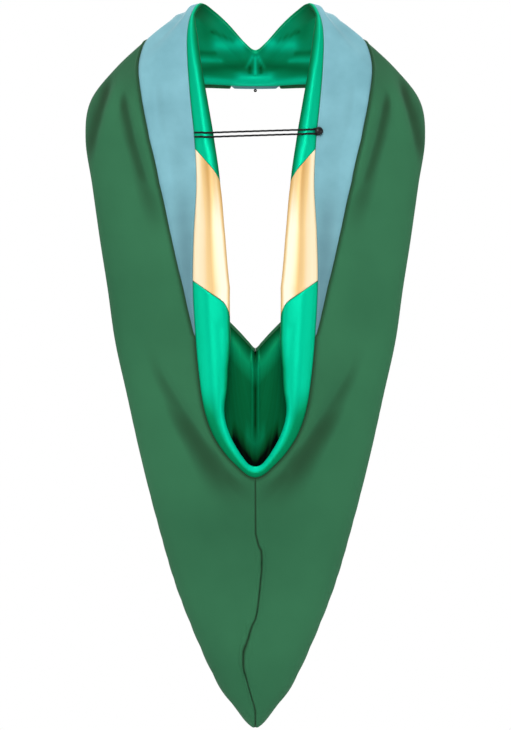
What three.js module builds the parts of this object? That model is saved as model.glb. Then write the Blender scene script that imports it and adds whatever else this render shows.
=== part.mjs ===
// An academic hood of the long open kind, in the form it takes when it is worn: a narrow band at the
// throat, two peaks beside the neck, and a long back with a deep opening whose lining is turned out.
// Millimetres. Z is up, X runs across the shoulders, and Y runs from the back to the chest.
// The origin is the centre of the neck opening, at the height where the hood sits on the shoulders.

import * as THREE from "three";

// Driving sizes
const HOOD_LENGTH = 1067; // top of the peaks to the tip
const HOOD_WIDTH = 500; // across the shoulders
const NECK_WIDTH = 202; // between the neck edges at the sides of the neck
const OPENING_LENGTH = 700; // top of the peaks to the bottom of the back opening
const BODY_EDGE_DROP = 510; // top of the peaks to the point of the edge that lies on the back
const FRONT_REACH = 105; // origin to the throat band
const BACK_REACH = 156; // origin to the furthest cloth at the back
const PEAK_HEIGHT = 40; // top of the peaks above the origin
const OUTER_FOLD = 13; // half the thickness of the fold along the outline
const EDGING_WIDTH = 75;
const ROLL_WIDTH = 54; // widest part of the turned-out lining
const ROLL_RADIUS = 6; // of the soft fold where it turns back inside
const CHEVRON_DROP = 217; // top of the peaks to a chevron's upper corner on the neck edge
const CHEVRON_HEIGHT = 194; // measured down the neck edge
const CHEVRON_SLANT = 1.0; // how far a chevron drops for each millimetre away from the edge
const ROLL_JOIN = 26; // the roll has come to lie under the edging this far from the neck edge
const LINING_SET_BACK = 5; // the lining stops this far short of the body edge
const FOLD_WIDTH = 40; // half the width of the widest broad fold
const FOLD_HEIGHT = 6;
const SEAM_REACH = 16; // how far the centre back seam wanders aside
const SHELL_THICKNESS = 1.5;
const LINING_THICKNESS = 1.1;
const LAYER_GAP = 3; // between the shell and the lining behind it
const SEAM_GAP = 0.9; // between pieces that meet edge to edge
const SLANT_GAP = 1.2; // between a chevron and the lining, measured down the neck edge
const BUTTON_DIAMETER = 12.6;
const BUTTON_DOME = 4.2;
const BUTTON_RIM = 0.8; // height of its rounded rim
const BUTTON_SHANK = 6.2; // wide enough that the cord turns round it in a bend of two diameters
const BUTTON_ROOM = 1.7; // under its cap, over the cord, where the cord climbs onto the roll
const BUTTON_DROP = 192; // top of the peaks to the button's centre
const BUTTON_INSET = 1.5; // its centre from the neck edge, on the edging
const CORD_DIAMETER = 2.3;
const CORD_SPACING = 6.2; // between its two strands
const CORD_FALL = 4.5; // how much lower than the button it is sewn in at the other side
const CORD_CLEARANCE = 0.3;
const FRONT_LOOP_RADIUS = 2.6;
const FRONT_LOOP_THICKNESS = 1.4;
const FRONT_LOOP_GAP = 0.3;

// One row for each section, from the centre front, over the peak and down the back to the tip.
// seam is the neck edge, ridge the outer fold and hem the body edge, each as x, y, z shares: x of half
// the neck's or the hood's width, y of the front or back reach, z of the drop that its edge has.
// turn is 0 where the cloth runs down over the chest and 1 where it folds straight from back to front,
// fold a share of OUTER_FOLD, near and far the swell of the two panels as a share of OUTER_FOLD,
// edging a share of EDGING_WIDTH and roll a share of ROLL_WIDTH.
const SECTIONS = [
  { seam: [0.0, 0.74, 0.11], ridge: [0.0, 0.92, 0.093], hem: [0.0, 1.0, 0.246],
    turn: 0.0, fold: 0.8, near: 0.05, far: 0.0, edging: 1.0, roll: 0.09 },
  { seam: [0.16, 0.69, 0.096], ridge: [0.096, 0.89, 0.088], hem: [0.148, 0.99, 0.245],
    turn: 0.0, fold: 0.9, near: 0.1, far: 0.05, edging: 1.0, roll: 0.09 },
  { seam: [0.4, 0.51, 0.054], ridge: [0.236, 0.79, 0.07], hem: [0.3, 0.96, 0.243],
    turn: 0.0, fold: 1.1, near: 0.2, far: 0.1, edging: 1.0, roll: 0.09 },
  { seam: [0.62, 0.29, 0.021], ridge: [0.362, 0.6, 0.046], hem: [0.42, 0.91, 0.247],
    turn: 0.0, fold: 1.4, near: 0.3, far: 0.2, edging: 1.0, roll: 0.09 },
  { seam: [0.82, 0.06, 0.002], ridge: [0.45, 0.33, 0.024], hem: [0.528, 0.83, 0.256],
    turn: 0.1, fold: 1.7, near: 0.3, far: 0.4, edging: 1.0, roll: 0.09 },
  { seam: [0.945, -0.12, 0.026], ridge: [0.516, 0.1, 0.029], hem: [0.636, 0.7, 0.27],
    turn: 0.3, fold: 1.9, near: 0.2, far: 0.5, edging: 1.0, roll: 0.1 },
  { seam: [1.0, -0.28, 0.07], ridge: [0.636, 0.02, 0.05], hem: [0.74, 0.52, 0.294],
    turn: 0.6, fold: 2.0, near: 0.3, far: 0.5, edging: 1.0, roll: 0.27 },
  { seam: [0.99, -0.42, 0.136], ridge: [0.824, -0.02, 0.091], hem: [0.84, 0.32, 0.326],
    turn: 0.8, fold: 1.9, near: 0.4, far: 0.4, edging: 1.0, roll: 0.37 },
  { seam: [0.95, -0.53, 0.207], ridge: [0.972, -0.08, 0.137], hem: [0.91, 0.12, 0.4],
    turn: 1.0, fold: 1.6, near: 0.5, far: 0.2, edging: 0.96, roll: 0.46 },
  { seam: [0.89, -0.64, 0.293], ridge: [1.0, -0.21, 0.19], hem: [0.93, -0.08, 0.49],
    turn: 1.0, fold: 1.25, near: 0.5, far: 0.0, edging: 0.88, roll: 0.54 },
  { seam: [0.863, -0.74, 0.386], ridge: [0.96, -0.37, 0.253], hem: [0.87, -0.25, 0.56],
    turn: 1.0, fold: 1.05, near: 0.5, far: 0.0, edging: 0.72, roll: 0.65 },
  { seam: [0.9, -0.815, 0.493], ridge: [0.914, -0.51, 0.328], hem: [0.79, -0.37, 0.602],
    turn: 1.0, fold: 1.0, near: 0.5, far: 0.0, edging: 0.44, roll: 0.85 },
  { seam: [0.912, -0.88, 0.6], ridge: [0.868, -0.61, 0.396], hem: [0.7, -0.47, 0.648],
    turn: 1.0, fold: 1.0, near: 0.5, far: 0.0, edging: 0.19, roll: 1.0 },
  { seam: [0.871, -0.92, 0.71], ridge: [0.824, -0.675, 0.468], hem: [0.61, -0.53, 0.692],
    turn: 1.0, fold: 1.0, near: 0.45, far: 0.0, edging: 0.0, roll: 0.94 },
  { seam: [0.822, -0.945, 0.786], ridge: [0.756, -0.705, 0.54], hem: [0.5, -0.57, 0.747],
    turn: 1.0, fold: 1.0, near: 0.4, far: 0.0, edging: 0.0, roll: 0.76 },
  { seam: [0.752, -0.96, 0.853], ridge: [0.68, -0.73, 0.62], hem: [0.386, -0.6, 0.806],
    turn: 1.0, fold: 1.0, near: 0.4, far: 0.0, edging: 0.0, roll: 0.63 },
  { seam: [0.634, -0.975, 0.905], ridge: [0.58, -0.75, 0.713], hem: [0.276, -0.62, 0.86],
    turn: 1.0, fold: 1.0, near: 0.4, far: 0.0, edging: 0.0, roll: 0.5 },
  { seam: [0.455, -0.985, 0.947], ridge: [0.448, -0.765, 0.817], hem: [0.174, -0.635, 0.912],
    turn: 1.0, fold: 1.0, near: 0.4, far: 0.0, edging: 0.0, roll: 0.42 },
  { seam: [0.238, -0.995, 0.98], ridge: [0.248, -0.775, 0.928], hem: [0.086, -0.645, 0.956],
    turn: 1.0, fold: 0.97, near: 0.4, far: 0.0, edging: 0.0, roll: 0.32 },
  { seam: [0.11, -1.0, 0.995], ridge: [0.108, -0.78, 0.976], hem: [0.038, -0.648, 0.982],
    turn: 1.0, fold: 0.95, near: 0.4, far: 0.0, edging: 0.0, roll: 0.3 },
  { seam: [0.0, -1.0, 1.0], ridge: [0.0, -0.78, 1.0], hem: [0.0, -0.65, 1.0],
    turn: 1.0, fold: 0.95, near: 0.4, far: 0.0, edging: 0.0, roll: 0.3 },
];

// Broad folds of the near panel as it is seen from behind, the same on both sides. Each runs straight
// from one point to another, given as shares of half the width and of the length. width is a share of
// FOLD_WIDTH and height of FOLD_HEIGHT, and a negative height is a dent.
const FOLDS = [
  { from: [0.79, 0.13], to: [0.63, 0.3], width: 0.8, height: -1 },
  { from: [0.68, 0.17], to: [0.53, 0.36], width: 0.7, height: 0.67 },
  { from: [0.6, 0.48], to: [0.24, 0.66], width: 0.95, height: -1 },
  { from: [0.44, 0.5], to: [0.12, 0.7], width: 0.65, height: 0.67 },
];

// The centre back seam wanders: shares of the way from the opening to the tip, and shares of SEAM_REACH
// to the right
const SEAM_WANDER = [
  [0.0, 0], [0.22, 0.03], [0.27, 0.31], [0.3, 0.6], [0.37, 0.6], [0.46, 0.38], [0.54, 0.13], [0.59, -0.38],
  [0.67, -0.75], [0.72, -1], [0.8, -1], [0.86, -0.38], [0.9, 0], [1.0, 0],
];

// Shape of the folds
const FOLD_BEND = 0.62; // how far the outer fold's two turns lie inside its ridge, in half thicknesses
const AFTER_JOIN = 1.6; // the roll's last guiding point, in widths of its join
const SLANT_STARTS = [5, 10]; // sections over which the lining's rows come to lie aslant
const SLANT_ENDS = [14, 19]; // and come to lie straight again

// Mesh steps
const RING_STEP = 0.625; // in sections
const ROLL_COLUMNS = 7;
const PANEL_COLUMNS = 12;
const FOLD_CROWDING = 0.35; // how much closer the columns lie at the outer fold
const SMALLEST_STRIP = 3; // width at which a tapering piece stops
const SNAP = 0.015; // a column this near an edge is pulled onto it, as a share of the section
const CORD_STEPS = 2; // from one point of its route to the next
const CORD_SIDES = 8;

const LAST = SECTIONS.length - 1;
const LAP = 2 * LAST; // sections once round the neck, both sides
const UP = new THREE.Vector3(0, 0, 1);
const FORWARD = new THREE.Vector3(0, 1, 0);
const RIDGE_AT = 0.5;
const { lerp, clamp, smoothstep } = THREE.MathUtils;

// Surface of the hood's outside

function place([x, y, z], halfWidth, drop) {
  const reach = y > 0 ? FRONT_REACH : BACK_REACH;
  return new THREE.Vector3(x * halfWidth, y * reach, PEAK_HEIGHT - z * drop);
}

function mirrored(point) {
  return new THREE.Vector3(-point.x, point.y, point.z);
}

function along(start, ...moves) {
  const end = start.clone();
  for (const [direction, distance] of moves) end.addScaledVector(direction, distance);
  return end;
}

const edges = SECTIONS.map((row) => ({
  seam: place(row.seam, NECK_WIDTH / 2, OPENING_LENGTH),
  ridge: place(row.ridge, HOOD_WIDTH / 2, HOOD_LENGTH),
  hem: place(row.hem, HOOD_WIDTH / 2, BODY_EDGE_DROP),
}));

// Seven points of a section: neck edge, near panel, three round the outer fold, far panel, body edge
function sectionPoints(index) {
  const { seam, ridge, hem } = edges[index];
  const row = SECTIONS[index];
  const before = index === 0 ? mirrored(edges[1].ridge) : edges[index - 1].ridge;
  const after = index === LAST ? mirrored(edges[LAST - 1].ridge) : edges[index + 1].ridge;
  const ring = after.clone().sub(before).normalize();
  const through = hem.clone().sub(seam).normalize().lerp(FORWARD, row.turn).normalize();
  const out = ring.clone().cross(through).normalize();
  const fold = row.fold * OUTER_FOLD;
  const nearTurn = along(ridge, [through, -fold], [out, -FOLD_BEND * fold]);
  const farTurn = along(ridge, [through, fold], [out, -FOLD_BEND * fold]);
  const nearOut = ring.clone().cross(nearTurn.clone().sub(seam)).normalize();
  const farOut = ring.clone().cross(hem.clone().sub(farTurn)).normalize();
  const nearPanel = seam.clone().lerp(nearTurn, 0.5).addScaledVector(nearOut, row.near * OUTER_FOLD);
  const farPanel = farTurn.clone().lerp(hem, 0.5).addScaledVector(farOut, row.far * OUTER_FOLD);
  return [seam, nearPanel, nearTurn, ridge, farTurn, farPanel, hem];
}

// A rail joins the same point of every section, all the way round the neck
function makeRails() {
  const right = SECTIONS.map((_, index) => sectionPoints(index));
  const left = right.slice(1, LAST).reverse().map((points) => points.map(mirrored));
  const all = [...right, ...left];
  return right[0].map((_, rail) => new THREE.CatmullRomCurve3(
    all.map((points) => points[rail]), true, "catmullrom", 0.5));
}

const rails = makeRails();
const sectionCurves = new Map();

function sectionCurve(ring) {
  const lap = ((ring % LAP) + LAP) % LAP;
  if (!sectionCurves.has(lap)) {
    const points = rails.map((rail) => rail.getPoint(lap / LAP));
    sectionCurves.set(lap, new THREE.CatmullRomCurve3(points, false, "centripetal"));
  }
  return sectionCurves.get(lap);
}

// A column of the table at any place round the ring
function blended(column, ring) {
  const side = Math.abs(((ring + LAST) % LAP + LAP) % LAP - LAST);
  const low = Math.min(Math.floor(side), LAST - 1);
  return lerp(SECTIONS[low][column], SECTIONS[low + 1][column], side - low);
}

function foldHeight(x, z) {
  const share = [Math.abs(x), PEAK_HEIGHT - z];
  return FOLDS.reduce((sum, fold) => {
    const from = [fold.from[0] * HOOD_WIDTH / 2, fold.from[1] * HOOD_LENGTH];
    const run = [fold.to[0] * HOOD_WIDTH / 2 - from[0], fold.to[1] * HOOD_LENGTH - from[1]];
    const length = Math.hypot(...run);
    const offset = [share[0] - from[0], share[1] - from[1]];
    const down = (offset[0] * run[0] + offset[1] * run[1]) / length;
    const aside = (offset[0] * run[1] - offset[1] * run[0]) / length;
    const beyond = Math.max(0, -down, down - length);
    const spread = (aside ** 2 + beyond ** 2) / (fold.width * FOLD_WIDTH) ** 2;
    return sum + fold.height * FOLD_HEIGHT * Math.exp(-spread);
  }, 0);
}

// across runs from 0 at the neck edge, through the outer fold, to 1 at the body edge
function clothPoint(ring, across) {
  const point = sectionCurve(ring).getPoint(clamp(across, 0, 1));
  const nearness = 1 - smoothstep(across, 0.28, 0.46);
  const lower = smoothstep(-point.y, 0.1 * BACK_REACH, 0.6 * BACK_REACH);
  const settled = smoothstep(across, 0.02, 0.12);
  point.y -= nearness * lower * settled * foldHeight(point.x, point.z);
  return point;
}

function frameOf(surface, ring, across) {
  const ringStep = 0.02;
  const acrossStep = 0.004;
  const a = clamp(across, acrossStep, 1 - acrossStep);
  const alongRing = surface(ring + ringStep, a).sub(surface(ring - ringStep, a)).normalize();
  const alongSection = surface(ring, a + acrossStep).sub(surface(ring, a - acrossStep)).normalize();
  const outward = alongRing.clone().cross(alongSection).normalize();
  return { outward, alongRing, alongSection };
}

function depthPoint(ring, across, depth) {
  return clothPoint(ring, across).addScaledVector(frameOf(clothPoint, ring, across).outward, -depth);
}

// Place on a section at a distance from the neck edge, measured on the cloth
const SECTION_SAMPLES = 80;
const sectionLengths = new Map();

function lengthsAt(ring) {
  if (!sectionLengths.has(ring)) {
    let last = clothPoint(ring, 0);
    const lengths = [0];
    for (let i = 1; i <= SECTION_SAMPLES; i += 1) {
      const next = clothPoint(ring, i / SECTION_SAMPLES);
      lengths.push(lengths[i - 1] + next.distanceTo(last));
      last = next;
    }
    sectionLengths.set(ring, lengths);
  }
  return sectionLengths.get(ring);
}

function acrossAt(ring, distance) {
  const lengths = lengthsAt(ring);
  const i = lengths.findIndex((length) => length >= distance);
  if (i < 0) return 1;
  if (i === 0) return 0;
  const part = (distance - lengths[i - 1]) / (lengths[i] - lengths[i - 1]);
  return (i - 1 + part) / SECTION_SAMPLES;
}

function distanceAt(ring, across) {
  const lengths = lengthsAt(ring);
  const at = clamp(across, 0, 1) * SECTION_SAMPLES;
  const i = Math.min(Math.floor(at), SECTION_SAMPLES - 1);
  return lerp(lengths[i], lengths[i + 1], at - i);
}

function sectionLength(ring) {
  return distanceAt(ring, 1);
}

// The ring place on the right side where the neck edge has dropped this far
function ringAtDrop(drop) {
  let low = 5;
  let high = LAST;
  for (let i = 0; i < 40; i += 1) {
    const middle = (low + high) / 2;
    if (PEAK_HEIGHT - rails[0].getPoint(middle / LAP).z < drop) low = middle;
    else high = middle;
  }
  return low;
}

// Closed slabs of cloth

function closedGeometry(positions, faces) {
  const geometry = new THREE.BufferGeometry();
  geometry.setAttribute("position", new THREE.Float32BufferAttribute(positions, 3));
  geometry.setIndex(faces);
  geometry.computeVertexNormals();
  return geometry;
}

// A grid of points on both faces, given by at(ring, column, face) for each ring place of rings, closed
// round its rim. Corners that fall together where a strip tapers are one corner. The two sides of the
// hood are split into triangles as mirror images.
function clothSlab(rings, columns, at) {
  const rows = rings.length - 1;
  const positions = [];
  const faces = [];
  const corners = new Map();
  const ids = new Map();
  for (const face of [0, 1]) {
    for (let row = 0; row <= rows; row += 1) {
      for (let column = 0; column <= columns; column += 1) {
        const point = at(rings[row], column, face).toArray();
        const key = point.map((value) => value.toFixed(4)).join();
        if (!corners.has(key)) {
          corners.set(key, positions.length / 3);
          positions.push(...point);
        }
        ids.set(`${row},${column},${face}`, corners.get(key));
      }
    }
  }
  const triangle = (...spots) => {
    const corner = spots.map((spot) => ids.get(spot.join()));
    if (new Set(corner).size === 3) faces.push(...corner);
  };
  for (let row = 0; row < rows; row += 1) {
    for (let column = 0; column < columns; column += 1) {
      const cell = [[row, column], [row + 1, column], [row + 1, column + 1], [row, column + 1]];
      const middle = (rings[row] + rings[row + 1]) / 2;
      const onRight = middle > 0 && middle < LAST;
      const [a, b, c, d] = onRight ? [...cell.slice(1), cell[0]] : cell;
      triangle([a, 0], [b, 0], [c, 0]);
      triangle([a, 0], [c, 0], [d, 0]);
      triangle([a, 1], [c, 1], [b, 1]);
      triangle([a, 1], [d, 1], [c, 1]);
    }
  }
  const rim = [];
  for (let row = 0; row < rows; row += 1) rim.push([row, 0]);
  for (let column = 0; column < columns; column += 1) rim.push([rows, column]);
  for (let row = rows; row > 0; row -= 1) rim.push([row, columns]);
  for (let column = columns; column > 0; column -= 1) rim.push([0, column]);
  rim.forEach((a, i) => {
    const b = rim[(i + 1) % rim.length];
    const backwards = b[0] + b[1] < a[0] + a[1]; // so that pieces that meet are split alike
    const [near, far] = backwards ? [[b, 1], [a, 0]] : [[a, 1], [b, 0]];
    triangle([b, 0], [a, 0], near);
    triangle(far, [a, 1], [b, 1]);
  });
  return closedGeometry(positions, faces);
}

// Ring places of the mesh rows, the same for every layer so that their facets lie parallel

function ringWhere(test, start, step) {
  let ring = start;
  while (ring > 0 && ring < LAST && !test(ring)) ring += step;
  return ring;
}

function edgingWidth(ring) {
  return EDGING_WIDTH * blended("edging", ring);
}

const shellStart = ringWhere((ring) => sectionLength(ring) - edgingWidth(ring) > SMALLEST_STRIP, 0.5, 0.02);
const edgingEnd = ringWhere((ring) => edgingWidth(ring) > SMALLEST_STRIP, LAST - 1, -0.02);

// The roll of the lining, from the neck edge out over the edge, round a soft fold and back inside
const LINING_DEPTH = SHELL_THICKNESS + LAYER_GAP + LINING_THICKNESS / 2;
const rollCurves = new Map();

function rollCurve(ring) {
  if (!rollCurves.has(ring)) {
    const edge = clothPoint(ring, 0);
    const { outward, alongSection } = frameOf(clothPoint, ring, 0);
    const width = ROLL_WIDTH * blended("roll", ring);
    const radius = Math.min(ROLL_RADIUS, 0.4 * width);
    const half = LINING_THICKNESS / 2;
    const spot = (inward, depth) => along(edge, [alongSection, -inward], [outward, -depth]);
    const join = acrossAt(ring, ROLL_JOIN);
    const afterJoin = acrossAt(ring, AFTER_JOIN * ROLL_JOIN);
    rollCurves.set(ring, new THREE.CatmullRomCurve3([
      spot(SEAM_GAP, half),
      spot(0.45 * width, half - 0.06 * width),
      spot(width - radius, half + 0.1 * radius),
      spot(width, half + radius),
      spot(width - radius, half + 1.9 * radius),
      spot(0.35 * width, LINING_DEPTH + 1.1 * radius),
      depthPoint(ring, join, LINING_DEPTH),
      depthPoint(ring, afterJoin, LINING_DEPTH),
    ], false, "centripetal"));
  }
  return rollCurves.get(ring);
}

const ROLL_END = 6 / 7; // of the curve's eight points, the last is past the join

function rollPoint(ring, share) {
  return rollCurve(ring).getPoint(clamp(share, 0, 1) * ROLL_END);
}

// The lining's threads slant across the roll: a row that lies at one ring place inside starts this much
// further up the neck edge
function rollSlant(ring) {
  const side = Math.abs(ring);
  const spacing = clothPoint(side + 0.5, 0).distanceTo(clothPoint(side - 0.5, 0));
  const length = 2 * ROLL_WIDTH * blended("roll", side) + ROLL_JOIN;
  const window = smoothstep(side, ...SLANT_STARTS) * (1 - smoothstep(side, ...SLANT_ENDS));
  return window * CHEVRON_SLANT * length / spacing;
}

// The ring place inside of a row whose start on the neck edge has dropped this far
function rowAtDrop(drop) {
  const start = ringAtDrop(drop);
  return ringWhere((ring) => ring - rollSlant(ring) >= start, start, 0.01);
}

const chevronTop = rowAtDrop(CHEVRON_DROP);
const chevronBottom = rowAtDrop(CHEVRON_DROP + CHEVRON_HEIGHT);

function makeRows() {
  const marks = [shellStart, edgingEnd, chevronTop, chevronBottom];
  const rows = [...marks];
  for (let i = 0; i * RING_STEP <= LAST; i += 1) {
    const ring = i * RING_STEP;
    if (marks.every((mark) => Math.abs(mark - ring) > 0.35 * RING_STEP)) rows.push(ring);
  }
  return rows.sort((a, b) => a - b);
}

const ROWS = makeRows();

// The rows from one ring place to another, over the front when start is below 0 and over the back when
// end is past LAST
function rowsBetween(start, end) {
  const lap = [...ROWS.map((ring) => (ring === 0 ? 0 : -ring)), ...ROWS, ...ROWS.map((ring) => LAP - ring)];
  return [...new Set(lap)].filter((ring) => ring >= start && ring <= end).sort((a, b) => a - b);
}

// The shared columns: the neck edge, the line where the roll has joined, then on to the body edge,
// closer together round the outer fold
function columnLine(ring, column) {
  if (column === 0) return 0;
  const share = (column - 1) / (PANEL_COLUMNS - 1);
  const crowded = share + (FOLD_CROWDING / (2 * Math.PI)) * Math.sin(2 * Math.PI * share);
  return lerp(acrossAt(ring, ROLL_JOIN), 1, crowded);
}

// The shared columns on one side of a line that runs between them, with the near ones pulled onto it
function columnBelow(ring, column, limit) {
  const line = columnLine(ring, column);
  return line > limit - SNAP ? limit : line;
}

function columnAbove(ring, column, limit) {
  const line = columnLine(ring, column);
  return line < limit + SNAP ? limit : line;
}

// The shell and the edging

function edgingLimit(ring, gap) {
  return acrossAt(ring, Math.min(edgingWidth(ring), sectionLength(ring)) + gap);
}

function edgingGeometry() {
  return clothSlab(rowsBetween(-edgingEnd, edgingEnd), PANEL_COLUMNS, (ring, column, face) => {
    const limit = edgingLimit(ring, Math.abs(ring) < shellStart ? 0 : -SEAM_GAP / 2);
    return depthPoint(ring, columnBelow(ring, column, limit), face * SHELL_THICKNESS);
  });
}

function seamWander(across) {
  const share = clamp(across / RIDGE_AT, 0, 1);
  const next = SEAM_WANDER.findIndex(([at]) => at >= share);
  if (next <= 0) return 0;
  const [[fromAt, from], [toAt, to]] = [SEAM_WANDER[next - 1], SEAM_WANDER[next]];
  return SEAM_REACH * lerp(from, to, (share - fromAt) / (toAt - fromAt));
}

// Ring places for each millimetre across the centre back
function ringPerMillimetre(across) {
  return 1 / clothPoint(LAST + 0.5, across).distanceTo(clothPoint(LAST - 0.5, across));
}

// The rows beside the centre back follow the wandering seam, in every layer
function drifted(ring, across) {
  const side = ring > LAST ? LAP - ring : Math.abs(ring);
  const nearCentre = smoothstep(side, LAST - 1.5, LAST);
  return nearCentre === 0 ? ring : ring - nearCentre * seamWander(across) * ringPerMillimetre(across);
}

function shellGeometry(side) {
  const rings = side > 0 ? rowsBetween(shellStart, LAST) : rowsBetween(-LAST, -shellStart);
  return clothSlab(rings, PANEL_COLUMNS, (ring, column, face) => {
    const base = Math.abs(ring);
    const limit = base > edgingEnd ? 0 : edgingLimit(base, SEAM_GAP / 2);
    const across = columnAbove(base, column, limit);
    const inset = base === LAST ? side * (SEAM_GAP / 2) * ringPerMillimetre(across) : 0;
    return depthPoint(drifted(ring, across) - inset, across, face * SHELL_THICKNESS);
  });
}

// The lining

function liningPoint(ring, column, face) {
  const aside = (face - 0.5) * LINING_THICKNESS;
  if (column >= ROLL_COLUMNS) {
    const limit = acrossAt(ring, sectionLength(ring) - LINING_SET_BACK);
    const across = columnBelow(ring, column - ROLL_COLUMNS + 1, limit);
    return depthPoint(drifted(ring, across), across, LINING_DEPTH + aside);
  }
  const share = column / ROLL_COLUMNS;
  const side = ring > LAST ? LAP - ring : ring;
  const slant = (1 - share) * rollSlant(side) * Math.sign(side) * (ring > LAST ? -1 : 1);
  const slanted = ring - slant;
  const { outward } = frameOf(rollPoint, slanted, share);
  return rollPoint(slanted, share).addScaledVector(outward, -aside);
}

function liningGeometry(start, end) {
  const step = 0.2;
  return clothSlab(rowsBetween(start, end), ROLL_COLUMNS + PANEL_COLUMNS - 1, (ring, column, face) => {
    const inwards = Number(ring === start) - Number(ring === end);
    if (inwards === 0) return liningPoint(ring, column, face);
    const span = liningPoint(ring + step, column, face).distanceTo(liningPoint(ring - step, column, face));
    return liningPoint(ring + inwards * SLANT_GAP / 2 * (2 * step / span), column, face);
  });
}

// The cord, the button that holds it and the thread loop in front

// A point of the cord's middle where it lies on the roll, at a share of the way across the roll
function cordOnRoll(side, drop, share) {
  const ring = side * ringAtDrop(drop);
  const { outward } = frameOf(rollPoint, ring, share);
  const lift = LINING_THICKNESS / 2 + CORD_CLEARANCE + CORD_DIAMETER / 2;
  return rollPoint(ring, share).addScaledVector(outward, -lift);
}

function buttonPlace() {
  const ring = ringAtDrop(BUTTON_DROP);
  return { foot: clothPoint(ring, acrossAt(ring, BUTTON_INSET)), ...frameOf(clothPoint, ring, 0) };
}

// Out of the left neck edge, over both rolls to the button, round its shank and back below
function cordRoute() {
  const onRoll = [0.02, 0.1, 0.18, 0.26];
  const strand = (offset) => {
    const left = onRoll.map((share) => cordOnRoll(-1, BUTTON_DROP + CORD_FALL + offset, share));
    const right = onRoll.slice(1).reverse().map((share) => cordOnRoll(1, BUTTON_DROP + offset, share));
    const between = [0.25, 0.5, 0.75].map((share) => left.at(-1).clone().lerp(right[0], share));
    return [...left, ...between, ...right];
  };
  const { foot, outward, alongSection } = buttonPlace();
  const downEdge = alongSection.clone().cross(outward);
  const radius = BUTTON_SHANK / 2 + CORD_CLEARANCE + CORD_DIAMETER / 2;
  const height = CORD_CLEARANCE + CORD_DIAMETER / 2;
  const round = [-90, -45, 0, 45, 90].map((degrees) => {
    const angle = degrees * Math.PI / 180;
    return along(foot, [outward, height], [alongSection, radius * Math.cos(angle)],
      [downEdge, radius * Math.sin(angle)]);
  });
  return [...strand(-CORD_SPACING / 2), ...round, ...strand(CORD_SPACING / 2).reverse()];
}

function cordGeometry() {
  const route = cordRoute();
  const curve = new THREE.CatmullRomCurve3(route);
  const steps = CORD_STEPS * (route.length - 1);
  const rings = Array.from({ length: steps + 1 }, (_, i) => i / steps);
  const positions = [];
  const faces = [];
  for (const at of rings) {
    const middle = curve.getPoint(at);
    const tangent = curve.getTangent(at);
    const across = tangent.clone().cross(FORWARD).normalize();
    const raised = across.clone().cross(tangent).normalize();
    for (let i = 0; i < CORD_SIDES; i += 1) {
      const angle = 2 * Math.PI * i / CORD_SIDES;
      const [a, b] = [Math.cos(angle) * CORD_DIAMETER / 2, Math.sin(angle) * CORD_DIAMETER / 2];
      positions.push(...along(middle, [across, a], [raised, b]).toArray());
    }
  }
  const corner = (ring, i) => ring * CORD_SIDES + (i % CORD_SIDES);
  for (let i = 0; i < CORD_SIDES; i += 1) {
    for (let ring = 0; ring < steps; ring += 1) {
      faces.push(corner(ring, i), corner(ring + 1, i + 1), corner(ring, i + 1));
      faces.push(corner(ring, i), corner(ring + 1, i), corner(ring + 1, i + 1));
    }
    if (i > 0 && i < CORD_SIDES - 1) {
      faces.push(corner(0, 0), corner(0, i), corner(0, i + 1));
      faces.push(corner(steps, 0), corner(steps, i + 1), corner(steps, i));
    }
  }
  return closedGeometry(positions, faces);
}

function buttonMesh(material) {
  const { foot, outward } = buttonPlace();
  const lift = CORD_CLEARANCE + CORD_DIAMETER + BUTTON_ROOM;
  const radius = BUTTON_DIAMETER / 2;
  const profile = [new THREE.Vector2(0, CORD_CLEARANCE)];
  profile.push(new THREE.Vector2(BUTTON_SHANK / 2, CORD_CLEARANCE));
  profile.push(new THREE.Vector2(BUTTON_SHANK / 2, lift));
  profile.push(new THREE.Vector2(radius - BUTTON_RIM, lift));
  const steps = 5;
  for (let i = 0; i <= steps; i += 1) {
    const angle = (Math.PI / 2) * (i / steps);
    const out = i === steps ? 0 : radius * Math.cos(angle) ** 0.7;
    profile.push(new THREE.Vector2(out, lift + BUTTON_RIM + (BUTTON_DOME - BUTTON_RIM) * Math.sin(angle)));
  }
  const mesh = new THREE.Mesh(new THREE.LatheGeometry(profile, 16), material);
  mesh.position.copy(foot);
  mesh.quaternion.setFromUnitVectors(FORWARD, outward);
  return mesh;
}

function frontLoopMesh(material) {
  const radius = FRONT_LOOP_RADIUS - FRONT_LOOP_THICKNESS / 2;
  const mesh = new THREE.Mesh(
    new THREE.TorusGeometry(radius, FRONT_LOOP_THICKNESS / 2, 6, 12), material);
  mesh.rotation.x = Math.PI / 2; // stands in line with the throat band
  const middle = depthPoint(0, 1, SHELL_THICKNESS / 2);
  mesh.position.copy(along(middle, [UP, -FRONT_LOOP_RADIUS - FRONT_LOOP_GAP]));
  return mesh;
}

// The object

function cloth(color, roughness) {
  return new THREE.MeshStandardMaterial({ color, roughness, metalness: 0 });
}

const shellCloth = cloth(0x30704c, 0.85);
const edgingCloth = cloth(0x7db6c4, 0.6);
const liningSatin = cloth(0x008c58, 0.35);
const chevronSatin = cloth(0xf0cd96, 0.35);
const cordCloth = cloth(0x15161a, 0.7);
const buttonGloss = cloth(0x15161a, 0.3);

const group = new THREE.Group();

function add(name, mesh) {
  mesh.name = name;
  group.add(mesh);
}

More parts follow.
